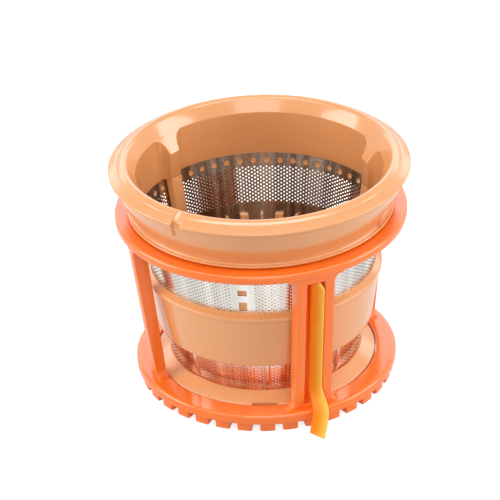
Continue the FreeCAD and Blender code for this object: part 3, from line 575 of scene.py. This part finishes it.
# the steel cone that everything in the strainer follows
cone = {
    "footRadius": 35.55,
    "footHeight": 8.5,
    "headRadius": 45.62,
    "headHeight": 67.35,
    "sheet": 0.45,
    "ribGap": 0.2,
}
cone["slope"] = (cone["headRadius"] - cone["footRadius"]) / (cone["headHeight"] - cone["footHeight"])


def coneAt(height):
    return cone["footRadius"] + cone["slope"] * (height - cone["footHeight"])


# strainer frame: one beige moulding
head = {
    "outline": [
        (45.62, 67.4), (46.0, 84.8, 0.9), (50.02, 91.1, 2.0), (52.45, 89.0, 0.3), (52.75, 88.65, 0.2),
        (53.6, 88.45, 0.5), (56.02, 87.2, 0.45), (56.02, 86.3, 0.45), (54.82, 85.5, 0.3), (51.72, 77.7, 2.0),
        (48.35, 71.0, 0.5), (50.02, 70.85, 0.3), (50.02, 70.2, 0.3), (47.12, 69.7, 0.3), (47.12, 62.5, 0.3),
        (45.29, 62.5), (46.12, 67.4),
    ],
    "notchTurn": -14.0,
    "notchWide": 4.0,
    "notch": [(50.8, 93.0), (50.8, 89.95, 0.2), (53.3, 87.95, 0.3), (54.02, 87.2, 0.3), (54.02, 85.2),
              (58.0, 85.2), (58.0, 93.0)],
    "finTurn": -16.8,
    "finWide": 1.3,
    "fin": [(52.45, 81.3), (53.85, 81.3), (55.52, 85.5), (55.52, 86.3), (54.12, 86.3)],
    "stopFrom": 77.5,
    "stopTo": 101.5,
    "stopSteps": 16,
    "stop": [(48.22, 71.8), (49.92, 71.8), (51.82, 78.0), (48.22, 78.0)],
    "edgeRound": 0.22,
    "detailRound": 0.5,
}
band = {
    "outline": [
        (coneAt(23.3) + 0.5, 23.3), (coneAt(23.3) + 3.1, 23.3, 0.8), (coneAt(44.0) + 2.8, 44.0, 0.3),
        (coneAt(44.0) + 3.55, 44.5, 0.3), (coneAt(44.0) + 3.55, 45.9, 0.45), (coneAt(47.4) + 0.8, 47.4, 0.15),
        (coneAt(47.4) + 0.5, 47.4),
    ],
}
flange = {
    "outline": [
        (33.5, 2.0, 0.3), (42.2, 2.0, 0.5), (42.2, 7.0, 0.8), (37.05, 9.95, 0.4), (coneAt(9.95) + 0.5, 9.95),
        (36.05, 8.45), (35.5, 8.45), (coneAt(9.95) - 0.05, 9.95), (33.5, 9.95, 0.3),
    ],
    "recessTurn": 17.2,
    "recessWide": 9.7,
    "recess": [(41.2, 12.0), (41.2, 5.5), (44.0, 5.5), (44.0, 12.0)],
}
longRib = {
    "copies": 3,
    "turn": 8.6,
    "wide": 5.5,
    "headIn": 41.92,
    "footIn": 33.9,
    "foot": 9.05,
    "headLow": 67.4,
    "headStart": 0.1,  # above headLow
    "ribEnd": 0.3,
    "section": [
        (41.92, -2.75, 0.6), (44.88, -3.45, 3.0), (45.52, -7.75), (47.2, -7.75),
        (47.2, 7.75), (45.52, 7.75), (44.88, 3.45, 3.0), (41.92, 2.75, 0.6),
    ],
    "mouth": (46.32, 85.3),
    "rimSlope": 5.8 / 3.7,
    "tuckFrom": 46.6,
    "tuck": 0.25,
    "across": 8,
    "edgeRound": 0.4,
}
shortRib = {
    "copies": 18,
    "wide": 3.3,
    "thin": 1.0,
    "top": 43.45,
    "foot": 8.85,
    "deep": 2.4,
    "footDeep": 1.6,
    "edgeRound": 0.4,
}


def cutAway(obj, outline, half, turn):
    cut = bmesh.new()
    profile = roundedOutline(outline, steps=4)
    addLoft(cut, [[atTurn(p.x, side * half, p.y, turn) for p in profile] for side in (-1, 1)])
    cutter = objectFrom(meshFrom(cut, "cutter"), "cutter")
    away = obj.modifiers.new("cutAway", "BOOLEAN")
    away.object = cutter
    away.solver = "EXACT"
    settle(obj)
    bpy.data.objects.remove(cutter)


def makeHead(h):
    bm = bmesh.new()
    addLathe(bm, dense(roundedOutline(h["outline"])))
    obj = objectFrom(meshFrom(bm, "rimHead"), "rimHead", beigePlastic)
    cutAway(obj, h["notch"], h["notchWide"] / 2, h["notchTurn"])
    settle(softenEdges(obj, h["edgeRound"], angle=55.0, segments=2))
    bm = bmesh.new()
    half = h["finWide"] / 2
    addLoft(bm, [[atTurn(x, side * half, z, h["finTurn"]) for x, z in h["fin"]] for side in (-1, 1)])
    span = h["stopTo"] - h["stopFrom"]
    turns = [h["stopFrom"] + span * k / h["stopSteps"] for k in range(h["stopSteps"] + 1)]
    addLoft(bm, [[atTurn(x, 0, z, turn) for x, z in h["stop"]] for turn in turns])
    details = objectFrom(meshFrom(bm, "headDetails"), "headDetails", beigePlastic)
    settle(softenEdges(details, h["detailRound"]))
    return obj, details


def addRib(bm, half, turn, ends):
    # upright bar inside the sheet; ends are heights and inner radii
    rings = []
    for z, inner in ends:
        outer = coneAt(z) - cone["ribGap"]
        corners = ((inner, -half), (outer, -half), (outer, half), (inner, half))
        rings.append([atTurn(x, y, z, turn) for x, y in corners])
    addLoft(bm, rings)


def addRibHead(bm, r):
    # flares into the wall; its top carries on the slope of the rim
    plan = roundedOutline(r["section"], steps=6)
    count, across = len(plan), r["across"]

    def onSlope(p):
        height = r["mouth"][1] + (p.length - r["mouth"][0]) * r["rimSlope"]
        if p.length > r["tuckFrom"]:
            height -= r["tuck"]  # the outer edge hides inside the rim
        return bm.verts.new(atTurn(p.x, p.y, height, r["turn"]))

    foot = r["headLow"] + r["headStart"]
    low = [bm.verts.new(atTurn(p.x, p.y, foot, r["turn"])) for p in plan]
    top = [onSlope(p) for p in plan]
    half = count // 2
    for i in range(count - 1):
        if i != half - 1:
            bm.faces.new((low[i], low[i + 1], top[i + 1], top[i]))
    bm.faces.new(low[::-1])
    rows = []
    for k in range(half):
        inner = [onSlope(plan[k].lerp(plan[-1 - k], i / across)) for i in range(1, across)]
        rows.append([top[k]] + inner + [top[-1 - k]])
    bm.faces.new([low[-1], low[0]] + rows[0])
    bm.faces.new([low[half - 1], low[half]] + rows[-1][::-1])
    for a, b in zip(rows, rows[1:]):
        for i in range(across):
            bm.faces.new((a[i], a[i + 1], b[i + 1], b[i]))


def makeLongRibs(r):
    bm = bmesh.new()
    ends = ((r["foot"], r["footIn"]), (r["headLow"] + r["ribEnd"], r["headIn"]))
    addRib(bm, r["wide"] / 2, r["turn"], ends)
    addRibHead(bm, r)
    obj = objectFrom(meshFrom(bm, "longRibs"), "longRibs", beigePlastic)
    softenEdges(obj, r["edgeRound"], angle=38.0)
    return ringCopies(obj, r["copies"], beigePlastic)


def makeShortRibs(r, wide, turn, name):
    bm = bmesh.new()
    ends = [(z, coneAt(z) - deep) for z, deep in ((r["foot"], r["footDeep"]), (r["top"], r["deep"]))]
    addRib(bm, wide / 2, turn, ends)
    obj = objectFrom(meshFrom(bm, name), name, beigePlastic)
    softenEdges(obj, min(r["edgeRound"], wide / 4), angle=38.0, segments=2)
    return ringCopies(obj, r["copies"], beigePlastic)


def makeStrainerFrame():
    bm = bmesh.new()
    addLathe(bm, dense(roundedOutline(band["outline"])))
    addLathe(bm, dense(roundedOutline(flange["outline"])))
    rings = objectFrom(meshFrom(bm, "bandAndFlange"), "bandAndFlange", beigePlastic)
    cutAway(rings, flange["recess"], flange["recessWide"] / 2, flange["recessTurn"])
    ribs = makeLongRibs(longRib)
    halfStep = 180.0 / shortRib["copies"]
    wide = makeShortRibs(shortRib, shortRib["wide"], longRib["turn"], "wideRibs")
    thin = makeShortRibs(shortRib, shortRib["thin"], longRib["turn"] + halfStep, "thinRibs")
    piece = joinPieces([*makeHead(head), rings, ribs, wide, thin], "strainerFrame")
    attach(piece, "strainer")
    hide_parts("strainer_frame")
    return piece


strainerFrame = makeStrainerFrame()
print("strainer frame made", len(strainerFrame.data.polygons), "faces")


# mesh sleeve: plain zones, punched panels, anchor holes, square holes and pressed beads
sieve = {
    "rowPitch": 1.455,
    "holeSides": 8,
    "upper": {"hole": 0.37, "low": 46.4, "rows": 11, "columns": 72, "roll": 44.0},  # each third of it
    "lower": {"hole": 0.3, "low": 9.7, "rows": 9, "columns": 204, "roll": 37.2},
    "ringSegments": 250,
    "blankHalf": 4.3,
    "squares": ((48.2, 52.08, 1.5), (55.18, 57.62, 1.65)),  # low, high and half width
    "anchorCopies": 54,
    "anchorRadius": 1.15,
    "anchorSides": 24,
    "anchorHeight": 64.4,
    "anchorRoll": 45.3,
    "beadTurn": 19.0,
    "beadCopies": 8,
    "beadHalf": 1.1,
    "beadProud": 0.7,
    "beadFlat": 0.8,
    "beadSink": 0.02,  # into the sheet; it also keeps the ends blunt
    "beadLow": 10.55,
    "beadHigh": 22.7,
    "beadSteps": 10,
    "beadRows": 12,
}


def punchedCell(width, height, radius, sides, lift=0.0):
    # flat plate with one hole, its outer ring matching its neighbours' corners
    bm = bmesh.new()
    w, h = width / 2 * mm, height / 2 * mm
    outer = [(w, 0), (w, h), (0, h), (-w, h), (-w, 0), (-w, -h), (0, -h), (w, -h)]
    count = len(outer)
    perSide = sides // count
    holes = []
    for z in (cone["sheet"] * mm, 0.0):
        rim = [bm.verts.new((x, y, z)) for x, y in outer]
        hole = []
        for k in range(sides):
            a = 2 * math.pi * k / sides
            hole.append(bm.verts.new((radius * mm * math.cos(a), (radius * math.sin(a) + lift) * mm, z)))
        holes.append(hole)
        for i in range(count):
            arc = [hole[(i * perSide + k) % sides] for k in range(perSide + 1)]
            bm.faces.new([rim[i], rim[(i + 1) % count]] + arc[::-1])
    joinRows(bm, holes)
    return meshFrom(bm, "punchedCell")


def plainCell(width, height):
    # flat plate in two halves, which meet where its neighbours have a point
    bm = bmesh.new()
    w, h = width / 2 * mm, height / 2 * mm
    for left, right in ((-w, 0.0), (0.0, w)):
        corners = [(left, -h), (right, -h), (right, h), (left, h)]
        for z, order in ((cone["sheet"] * mm, corners), (0.0, corners[::-1])):
            bm.faces.new([bm.verts.new((x, y, z)) for x, y in order])
    return meshFrom(bm, "plainCell", turnFaces=False)


def panelPiece(name, cell, columns, rows, pitch, rowPitch, low, roll, turn):
    obj = objectFrom(cell, name, sieveSteel)
    useTree(obj, sievePanel, {
        "columns": columns, "rows": rows, "columnPitch": pitch * mm, "rowPitch": rowPitch * mm,
        "lowHeight": low * mm, "lowRadius": coneAt(low) * mm, "slope": cone["slope"],
        "rollRadius": roll * mm, "startTurn": math.radians(turn), "finish": sieveSteel})
    return settle(obj, sharp=20.0)


def staggeredPanel(name, s, panel, turn, spread):
    # even columns start at the bottom, odd ones half a row up between plain half cells
    roll, rows, low, rise = panel["roll"], panel["rows"], panel["low"], s["rowPitch"]
    pitch = math.radians(spread) * roll / panel["columns"]
    punched = punchedCell(pitch, rise, panel["hole"], s["holeSides"])
    plain = plainCell(pitch, rise / 2)
    halfStep = math.degrees(pitch / 2 / roll)
    layers = (
        ("Even", punched.copy(), rows, rise, low, turn - halfStep),
        ("Odd", punched, rows - 1, rise, low + rise / 2, turn + halfStep),
        ("Foot", plain.copy(), 1, rise / 2, low, turn + halfStep),
        ("Top", plain, 1, rise / 2, low + (rows - 0.5) * rise, turn + halfStep),
    )
    columns = panel["columns"] // 2
    return [panelPiece(name + layer, cell, columns, count, pitch * 2, tall, foot, roll, start)
            for layer, cell, count, tall, foot, start in layers]


def addBlank(bm, s, middle, high):
    # plain strip of the sheet over a long rib, both skins, its square holes left open
    halves = sorted(half for low, top, half in s["squares"])
    across = [-s["blankHalf"]] + [-half for half in halves[::-1]] + halves + [s["blankHalf"]]
    turns = [middle + math.degrees(x / s["upper"]["roll"]) for x in across]
    heights = sorted([s["upper"]["low"], high] + [z for square in s["squares"] for z in square[:2]])
    gaps = {low: half for low, top, half in s["squares"]}
    for offset in (0.0, cone["sheet"]):
        grid = [[bm.verts.new(atTurn(coneAt(z) + offset, 0, z, turn)) for turn in turns] for z in heights]
        for z, low, top in zip(heights, grid, grid[1:]):
            for i, x in enumerate(across[:-1]):
                if abs(x + across[i + 1]) / 2 < gaps.get(z, 0.0):
                    continue
                quad = [low[i], low[i + 1], top[i + 1], top[i]]
                bm.faces.new(quad if offset else quad[::-1])


def closeSheet(obj, sharp=30.0):
    # makes one skin of cells that touch, with walls along the borders of the sheet
    bm = bmesh.new()
    bm.from_mesh(obj.data)
    touching = 0.01 * mm
    bmesh.ops.remove_doubles(bm, verts=bm.verts, dist=touching)
    bm.verts.ensure_lookup_table()
    places = KDTree(len(bm.verts))
    for v in bm.verts:
        places.insert(v.co, v.index)
    places.balance()

    def innerTwin(v):
        outwards = v.co.xy.normalized().to_3d()
        return bm.verts[places.find(v.co - outwards * cone["sheet"] * mm)[1]]

    for edge in [e for e in bm.edges if e.is_boundary]:
        loop = edge.link_loops[0]
        a, b = loop.vert, loop.link_loop_next.vert
        if a.co.xy.length > (coneAt(a.co.z / mm) + cone["sheet"] / 2) * mm:
            bm.faces.new((b, a, innerTwin(a), innerTwin(b)))
    bm.to_mesh(obj.data)
    bm.free()
    obj.data.set_sharp_from_angle(angle=math.radians(sharp))
    return obj


def makeRings(s, zones):
    bm = bmesh.new()
    for low, high in zones:
        inner = [Vector((coneAt(z), z)) for z in (low, high)]
        outer = [p + Vector((cone["sheet"], 0)) for p in inner]
        addLathe(bm, inner + outer[::-1], s["ringSegments"])
    return objectFrom(meshFrom(bm, "plainRings", sharp=30.0), "plainRings", sieveSteel)


def makeBlanks(s, middles, high):
    bm = bmesh.new()
    for middle in middles:
        addBlank(bm, s, middle, high)
    return objectFrom(meshFrom(bm, "blanks", turnFaces=False), "blanks", sieveSteel)


def makeAnchors(s, low):
    # one row of round holes up to the head of the sheet
    tall = cone["headHeight"] - low
    pitch = 2 * math.pi * s["anchorRoll"] / s["anchorCopies"]
    lift = s["anchorHeight"] - low - tall / 2
    cell = punchedCell(pitch, tall, s["anchorRadius"], s["anchorSides"], lift)
    turn = longRib["turn"] - 180.0 / s["anchorCopies"]
    return panelPiece("anchorRow", cell, s["anchorCopies"], 1, pitch, tall, low, s["anchorRoll"], turn)


def makeBeads(s):
    bm = bmesh.new()
    low, high, half = s["beadLow"], s["beadHigh"], s["beadHalf"]
    sunk = cone["sheet"] - s["beadSink"]
    rings = []
    for i in range(s["beadRows"] + 1):
        z = low + (high - low) * i / s["beadRows"]
        nearEnd = min(1.0, (min(z - low, high - z) + s["beadSink"]) / half)
        swell = math.sqrt(1 - (1 - nearEnd) ** 2)
        ring = []
        for k in range(s["beadSteps"] + 1):
            a = math.pi * k / s["beadSteps"]
            outwards = coneAt(z) + sunk + s["beadProud"] * swell * math.sin(a) ** s["beadFlat"]
            ring.append(atTurn(outwards, -half * swell * math.cos(a), z, s["beadTurn"]))
        rings.append(ring)
    addLoft(bm, rings)
    obj = objectFrom(meshFrom(bm, "pressedBeads"), "pressedBeads", sieveSteel)
    return ringCopies(obj, s["beadCopies"], sieveSteel, sharp=30.0)


def makeSleeve(s):
    upper, lower = s["upper"], s["lower"]
    upperHigh = upper["low"] + upper["rows"] * s["rowPitch"]
    lowerHigh = lower["low"] + lower["rows"] * s["rowPitch"]
    third = 360.0 / longRib["copies"]
    middles = [longRib["turn"] + third * k for k in range(longRib["copies"])]
    blank = math.degrees(s["blankHalf"] / upper["roll"])
    upperPanels = []
    for k, middle in enumerate(middles):
        upperPanels += staggeredPanel("upperSieve%d" % k, s, upper, middle + blank, third - 2 * blank)
    lowerPanel = staggeredPanel("lowerSieve", s, lower, 0.0, 360.0)
    rings = makeRings(s, ((cone["footHeight"], lower["low"]), (lowerHigh, upper["low"])))
    blanks = closeSheet(makeBlanks(s, middles, upperHigh))
    anchors = closeSheet(makeAnchors(s, upperHigh))
    upperPiece = closeSheet(joinPieces(upperPanels, "upperSieve"))
    lowerPiece = closeSheet(joinPieces(lowerPanel, "lowerSieve"))
    solidPiece = joinPieces([rings, blanks, anchors, makeBeads(s)], "sleeveSheet")
    for piece in (upperPiece, lowerPiece, solidPiece):
        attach(piece, "strainer")
    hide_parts("mesh_sleeve")
    return upperPiece, lowerPiece, solidPiece


sleevePieces = makeSleeve(sieve)
print("mesh sleeve made", [len(p.data.polygons) for p in sleevePieces], "faces")


# brush cage: rings, slotted posts and teeth
cage = {
    "ring": [(42.6, 3.5, 0.4), (50.2, 3.5, 0.5), (50.2, 7.3, 1.1), (42.6, 7.3, 0.5)],
    "hoop": [(47.52, 65.8, 0.5), (54.72, 65.8, 1.1), (54.72, 69.4, 1.1), (47.52, 69.4, 0.5)],
    "postCopies": 2,
    "postTurn": 39.5,
    "postHalf": 7.25,
    "barTurn": -45.7,
    "barHalf": 1.9,
    "postLow": 6.5,
    "postHigh": 66.6,
    "postRows": (20.0, 33.0, 46.0, 56.0),
    "faceHeights": (6.3, 66.8),  # where the faces have the next radii
    "innerFace": (42.75, 48.22),
    "outerFace": (46.95, 53.82),
    "cornerRound": 3.5,
    "bendSteps": 8,
    "edgeRound": 0.36,
    "rowGap": 0.4,
    "slotHalf": 3.5,
    "sill": 8.3,
    "lintel": 63.3,
    "teeth": 36,
    "toothTurn": 8.3,
    "toothGap": 2.9,
    "toothIn": 44.0,
    "toothOut": 49.3,
    "toothHigh": 3.8,
    "toothRound": 0.55,
    "longestRun": 2.0,
}


def makePost(c, turn, half, slotHalf, name):
    bm = bmesh.new()
    r = c["cornerRound"]
    ringTop, hoopLow = c["ring"][2][1], c["hoop"][0][1]
    steps = c["bendSteps"]
    bends = [r * (1 - math.cos(math.pi / 2 * k / steps)) for k in range(steps + 1)]
    heights = [c["postLow"], c["postHigh"], *c["postRows"]]
    heights += [ringTop + b for b in bends] + [hoopLow - b for b in bends]
    if slotHalf:
        ends = (c["sill"], c["lintel"])
        heights = [z for z in heights if min(abs(z - end) for end in ends) > c["rowGap"]]
        heights += ends
    heights.sort()

    def edgeAt(z):
        gap = min(max(z - ringTop, 0.0), max(hoopLow - z, 0.0))
        return half if gap >= r else half + r - math.sqrt(r * r - (r - gap) ** 2)

    faces = []
    rows = []
    for z in heights:
        across = (-edgeAt(z), -slotHalf, slotHalf, edgeAt(z)) if slotHalf else (-edgeAt(z), edgeAt(z))
        rows.append([bm.verts.new((x, 0.0, z)) for x in across])
    for z, low, high in zip(heights, rows, rows[1:]):
        for i in range(len(low) - 1):
            if i == 1 and c["sill"] <= z < c["lintel"]:
                continue
            faces.append(bm.faces.new((low[i], low[i + 1], high[i + 1], high[i])))
    grown = bmesh.ops.extrude_face_region(bm, geom=faces)
    outerVerts = {v for v in grown["geom"] if isinstance(v, bmesh.types.BMVert)}
    foot, top = c["faceHeights"]
    for v in bm.verts:
        low, high = c["outerFace"] if v in outerVerts else c["innerFace"]
        v.co = atTurn(low + (high - low) * (v.co.z - foot) / (top - foot), v.co.x, v.co.z, turn)
    obj = objectFrom(meshFrom(bm, name), name, orangePlastic)
    softenEdges(obj, c["edgeRound"], angle=45.0)
    return ringCopies(obj, c["postCopies"], orangePlastic)


def makeTeeth(c):
    bm = bmesh.new()
    inner, outer = c["toothIn"], c["toothOut"]
    corners = ((inner, -1), (outer, -1), (outer, 0), (outer, 1), (inner, 1))
    rings = []
    for z in (0.0, c["toothHigh"]):
        ring = []
        for radius, side in corners:
            half = radius * math.radians(180.0 / c["teeth"]) - c["toothGap"] / 2
            ring.append(atTurn(math.sqrt(radius ** 2 - (half * side) ** 2), half * side, z, c["toothTurn"]))
        rings.append(ring)
    addLoft(bm, rings)
    obj = objectFrom(meshFrom(bm, "teeth"), "teeth", orangePlastic)
    softenEdges(obj, c["toothRound"])
    return ringCopies(obj, c["teeth"], orangePlastic)


def makeCage(c):
    bm = bmesh.new()
    for outline in (c["ring"], c["hoop"]):
        addLathe(bm, dense(roundedOutline(outline), c["longestRun"]))
    rings = objectFrom(meshFrom(bm, "cageRings"), "cageRings", orangePlastic)
    posts = [makePost(c, c["postTurn"], c["postHalf"], c["slotHalf"], "wiperPosts"),
             makePost(c, c["barTurn"], c["barHalf"], None, "plainBars")]
    piece = joinPieces([rings, makeTeeth(c)] + posts, "brushCage")
    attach(piece, "brush")
    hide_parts("brush_cage")
    return piece


brushCage = makeCage(cage)
print("brush cage made", len(brushCage.data.polygons), "faces")


# wipers: root bar in the slot, slanting blade, tail outside the lower ring
wiper = {
    "turn": cage["postTurn"],
    "back": 1.0,
    "side": 0.7,
    # height, root outwards and sideways, free edge outwards and sideways
    "sections": [
        (0.25, 53.5, -4.2, 59.9, -1.0),
        (4.0, 52.9, -3.3, 56.6, 1.6),
        (8.2, 51.9, -2.0, 53.6, 3.3),
        (16.0, 46.05, -1.5, 49.35, 2.5),
        (38.0, 48.55, -1.5, 51.85, 2.5),
        (60.1, 51.06, -1.5, 54.36, 2.5),
        (62.9, 51.38, -1.5, 54.02, 1.1),
    ],
    "straightFrom": 3,  # from this section up the blade runs straight
    "rows": 9,
    "across": 6,
    "rootBar": [(8.5, 43.35, 45.45), (63.1, 48.29, 50.39)],
    "rootLeft": -3.3,
    "rootRight": -0.8,
    "rootShare": 0.35,  # where the colours of the blade and of the bar start; the dark red-orange of the bar is painted shade in the slot
    "barShare": 0.05,
    "uvTall": 70.0,
    "edgeRound": 0.25,
}


def bladeAt(w, height):
    # smooth run through the sections
    rows = w["sections"]
    tiny = 1e-6
    i = max(k for k in range(len(rows) - 1) if rows[k][0] <= height + tiny)
    a, b = rows[i], rows[i + 1]
    span = b[0] - a[0]
    t = (height - a[0]) / span

    def slopeAt(j, k):
        first, last = max(j - 1, 0), j + 1
        if min(i, j) >= w["straightFrom"] or last == len(rows):
            first, last = i, i + 1
        return (rows[last][k] - rows[first][k]) / (rows[last][0] - rows[first][0])

    out = []
    for k in range(1, len(a)):
        m0, m1 = slopeAt(i, k) * span, slopeAt(i + 1, k) * span
        out.append((2 * t ** 3 - 3 * t ** 2 + 1) * a[k] + (t ** 3 - 2 * t ** 2 + t) * m0
                   + (-2 * t ** 3 + 3 * t ** 2) * b[k] + (t ** 3 - t ** 2) * m1)
    return out


def addBlade(bm, w, turn, share):
    heights = [w["sections"][0][0]]
    for low, high in zip(w["sections"], w["sections"][1:]):
        heights += [low[0] + (high[0] - low[0]) * k / w["rows"] for k in range(1, w["rows"] + 1)]
    steps = [k / w["across"] for k in range(w["across"] + 1)]
    path = [(s, 0) for s in steps] + [(s, 1) for s in steps[::-1]]  # out along the front, home along the back
    rows = []
    for z in heights:
        rootOut, rootSide, edgeOut, edgeSide = bladeAt(w, z)
        row = []
        for s, side in path:
            outwards = rootOut + (edgeOut - rootOut) * s - w["back"] * side
            sideways = rootSide + (edgeSide - rootSide) * s + w["side"] * side
            row.append(bm.verts.new(atTurn(outwards, sideways, z, turn)))
            share[row[-1]] = w["rootShare"] + (1 - w["rootShare"]) * s
        rows.append(row)
    joinRows(bm, rows)
    for row, way in ((rows[0], -1), (rows[-1], 1)):
        for k in range(w["across"]):
            bm.faces.new([row[k], row[k + 1], row[-2 - k], row[-1 - k]][::way])


def addRootBar(bm, w, turn, share):
    left, right = w["rootLeft"], w["rootRight"]
    rows = []
    for z, inner, outer in w["rootBar"]:
        corners = ((inner, left), (outer, left), (outer, right), (inner, right))
        rows.append([bm.verts.new(atTurn(x, y, z, turn)) for x, y in corners])
        share.update((v, w["barShare"]) for v in rows[-1])
    joinRows(bm, rows)
    bm.faces.new(rows[0][::-1])
    bm.faces.new(rows[1])


def makeWiper(w, turn, name, node):
    bm = bmesh.new()
    layer = bm.loops.layers.uv.new("across")
    share = {}  # of the way from the root to the free edge, at each point
    addBlade(bm, w, turn, share)
    addRootBar(bm, w, turn, share)
    for face in bm.faces:
        for loop in face.loops:
            loop[layer].uv = (share[loop.vert], loop.vert.co.z / (w["uvTall"] * mm))
    obj = objectFrom(meshFrom(bm, name), name, wiperSilicone)
    softenEdges(obj, w["edgeRound"], angle=50.0, segments=2)
    settle(obj, sharp=40.0)
    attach(obj, "brush")
    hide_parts(node)
    return obj


makeWiper(wiper, wiper["turn"], "wiperFront", "wiper_front")
makeWiper(wiper, wiper["turn"] + 180.0, "wiperBack", "wiper_back")
print("wipers made")


# white studio, lit from both sides and above
studio = {
    "floorHalf": 3.0,
    "floorTone": 0.5,
    "floorRough": 0.9,
    "floorGlow": 0.74,
    "floorMirror": 0.42,
    "worldStrength": 0.26,
    "worldMirror": 1.0,
    "lamps": {
        # place to the right, towards the viewer and up in metres; width; depth; watts; what sees it
        "leftLamp": (-1.1, 0.12, 0.4, 0.7, 0.7, 8.4, "all"),
        "rightLamp": (1.1, 0.12, 0.4, 0.7, 0.7, 8.4, "all"),
        "frontLamp": (0.0, 1.06, 0.8, 0.8, 0.8, 5.8, "all"),
        "topLamp": (0.0, 0.1, 1.2, 0.9, 0.9, 5.0, "diffuse"),
        "crestStrip": (0.0, 0.33, 1.2, 2.0, 0.26, 11.0, "mirror"),
        "backLamp": (0.0, -1.15, 0.6, 2.4, 0.4, 5.2, "all"),
    },
}


def whiteForViewers(nodes, links):
    # one mask for camera and see-through rays, one for mirror rays
    path = nodes.new("ShaderNodeLightPath")
    camera, seeThrough = path.outputs["Is Camera Ray"], path.outputs["Is Transmission Ray"]
    return mathNode(nodes, links, "MAXIMUM", camera, seeThrough), path.outputs["Is Glossy Ray"]


def makeFloor(s):
    bm = bmesh.new()
    h = s["floorHalf"]
    bm.faces.new([bm.verts.new((x * h, y * h, 0.0)) for x, y in ((-1, -1), (1, -1), (1, 1), (-1, 1))])
    mesh = bpy.data.meshes.new("paleFloor")
    bm.to_mesh(mesh)
    bm.free()
    mat, nodes, links, shader = newMaterial("paleFloor")
    tone = s["floorTone"]
    setInputs(shader, {
        "Base Color": (tone, tone, tone, 1.0), "Roughness": s["floorRough"], "Emission Color": white})
    seen, mirrored = whiteForViewers(nodes, links)
    glow = mathNode(nodes, links, "MULTIPLY", seen, s["floorGlow"])
    mirror = mathNode(nodes, links, "MULTIPLY", mirrored, s["floorMirror"])
    links.new(mathNode(nodes, links, "MAXIMUM", glow, mirror), shader.inputs["Emission Strength"])
    floor = objectFrom(mesh, "paleFloor", mat)


def makeWorld(s):
    world = bpy.data.worlds.new("studioWorld")
    scene.world = world
    world.use_nodes = True
    nodes, links = world.node_tree.nodes, world.node_tree.links
    background = nodes["Background"]
    background.inputs["Color"].default_value = white
    seen, mirrored = whiteForViewers(nodes, links)
    base = s["worldStrength"]
    plain = mathNode(nodes, links, "MULTIPLY_ADD", mirrored, s["worldMirror"] - base, base)
    links.new(mathNode(nodes, links, "MAXIMUM", seen, plain), background.inputs["Strength"])


def addLamp(name, values):
    right, near, up, width, depth, power, seenBy = values
    az = math.radians(shot["azimuth"])
    place = Vector((right * math.cos(az) + near * math.sin(az),
                    right * math.sin(az) - near * math.cos(az), up))
    target = Vector((0, 0, shot["targetHeight"] * mm))
    data = bpy.data.lights.new(name, "AREA")
    data.energy = power
    data.shape = "RECTANGLE"
    data.size = width
    data.size_y = depth
    lamp = bpy.data.objects.new(name, data)
    lamp.visible_diffuse = seenBy != "mirror"
    lamp.visible_glossy = seenBy != "diffuse"
    scene.collection.objects.link(lamp)
    lamp.location = place
    lamp.rotation_euler = (target - place).to_track_quat("-Z", "Y").to_euler()


makeFloor(studio)
makeWorld(studio)
for lampName, lampValues in studio["lamps"].items():
    addLamp(lampName, lampValues)
scene.view_settings.view_transform = "Standard"
print("studio lit")
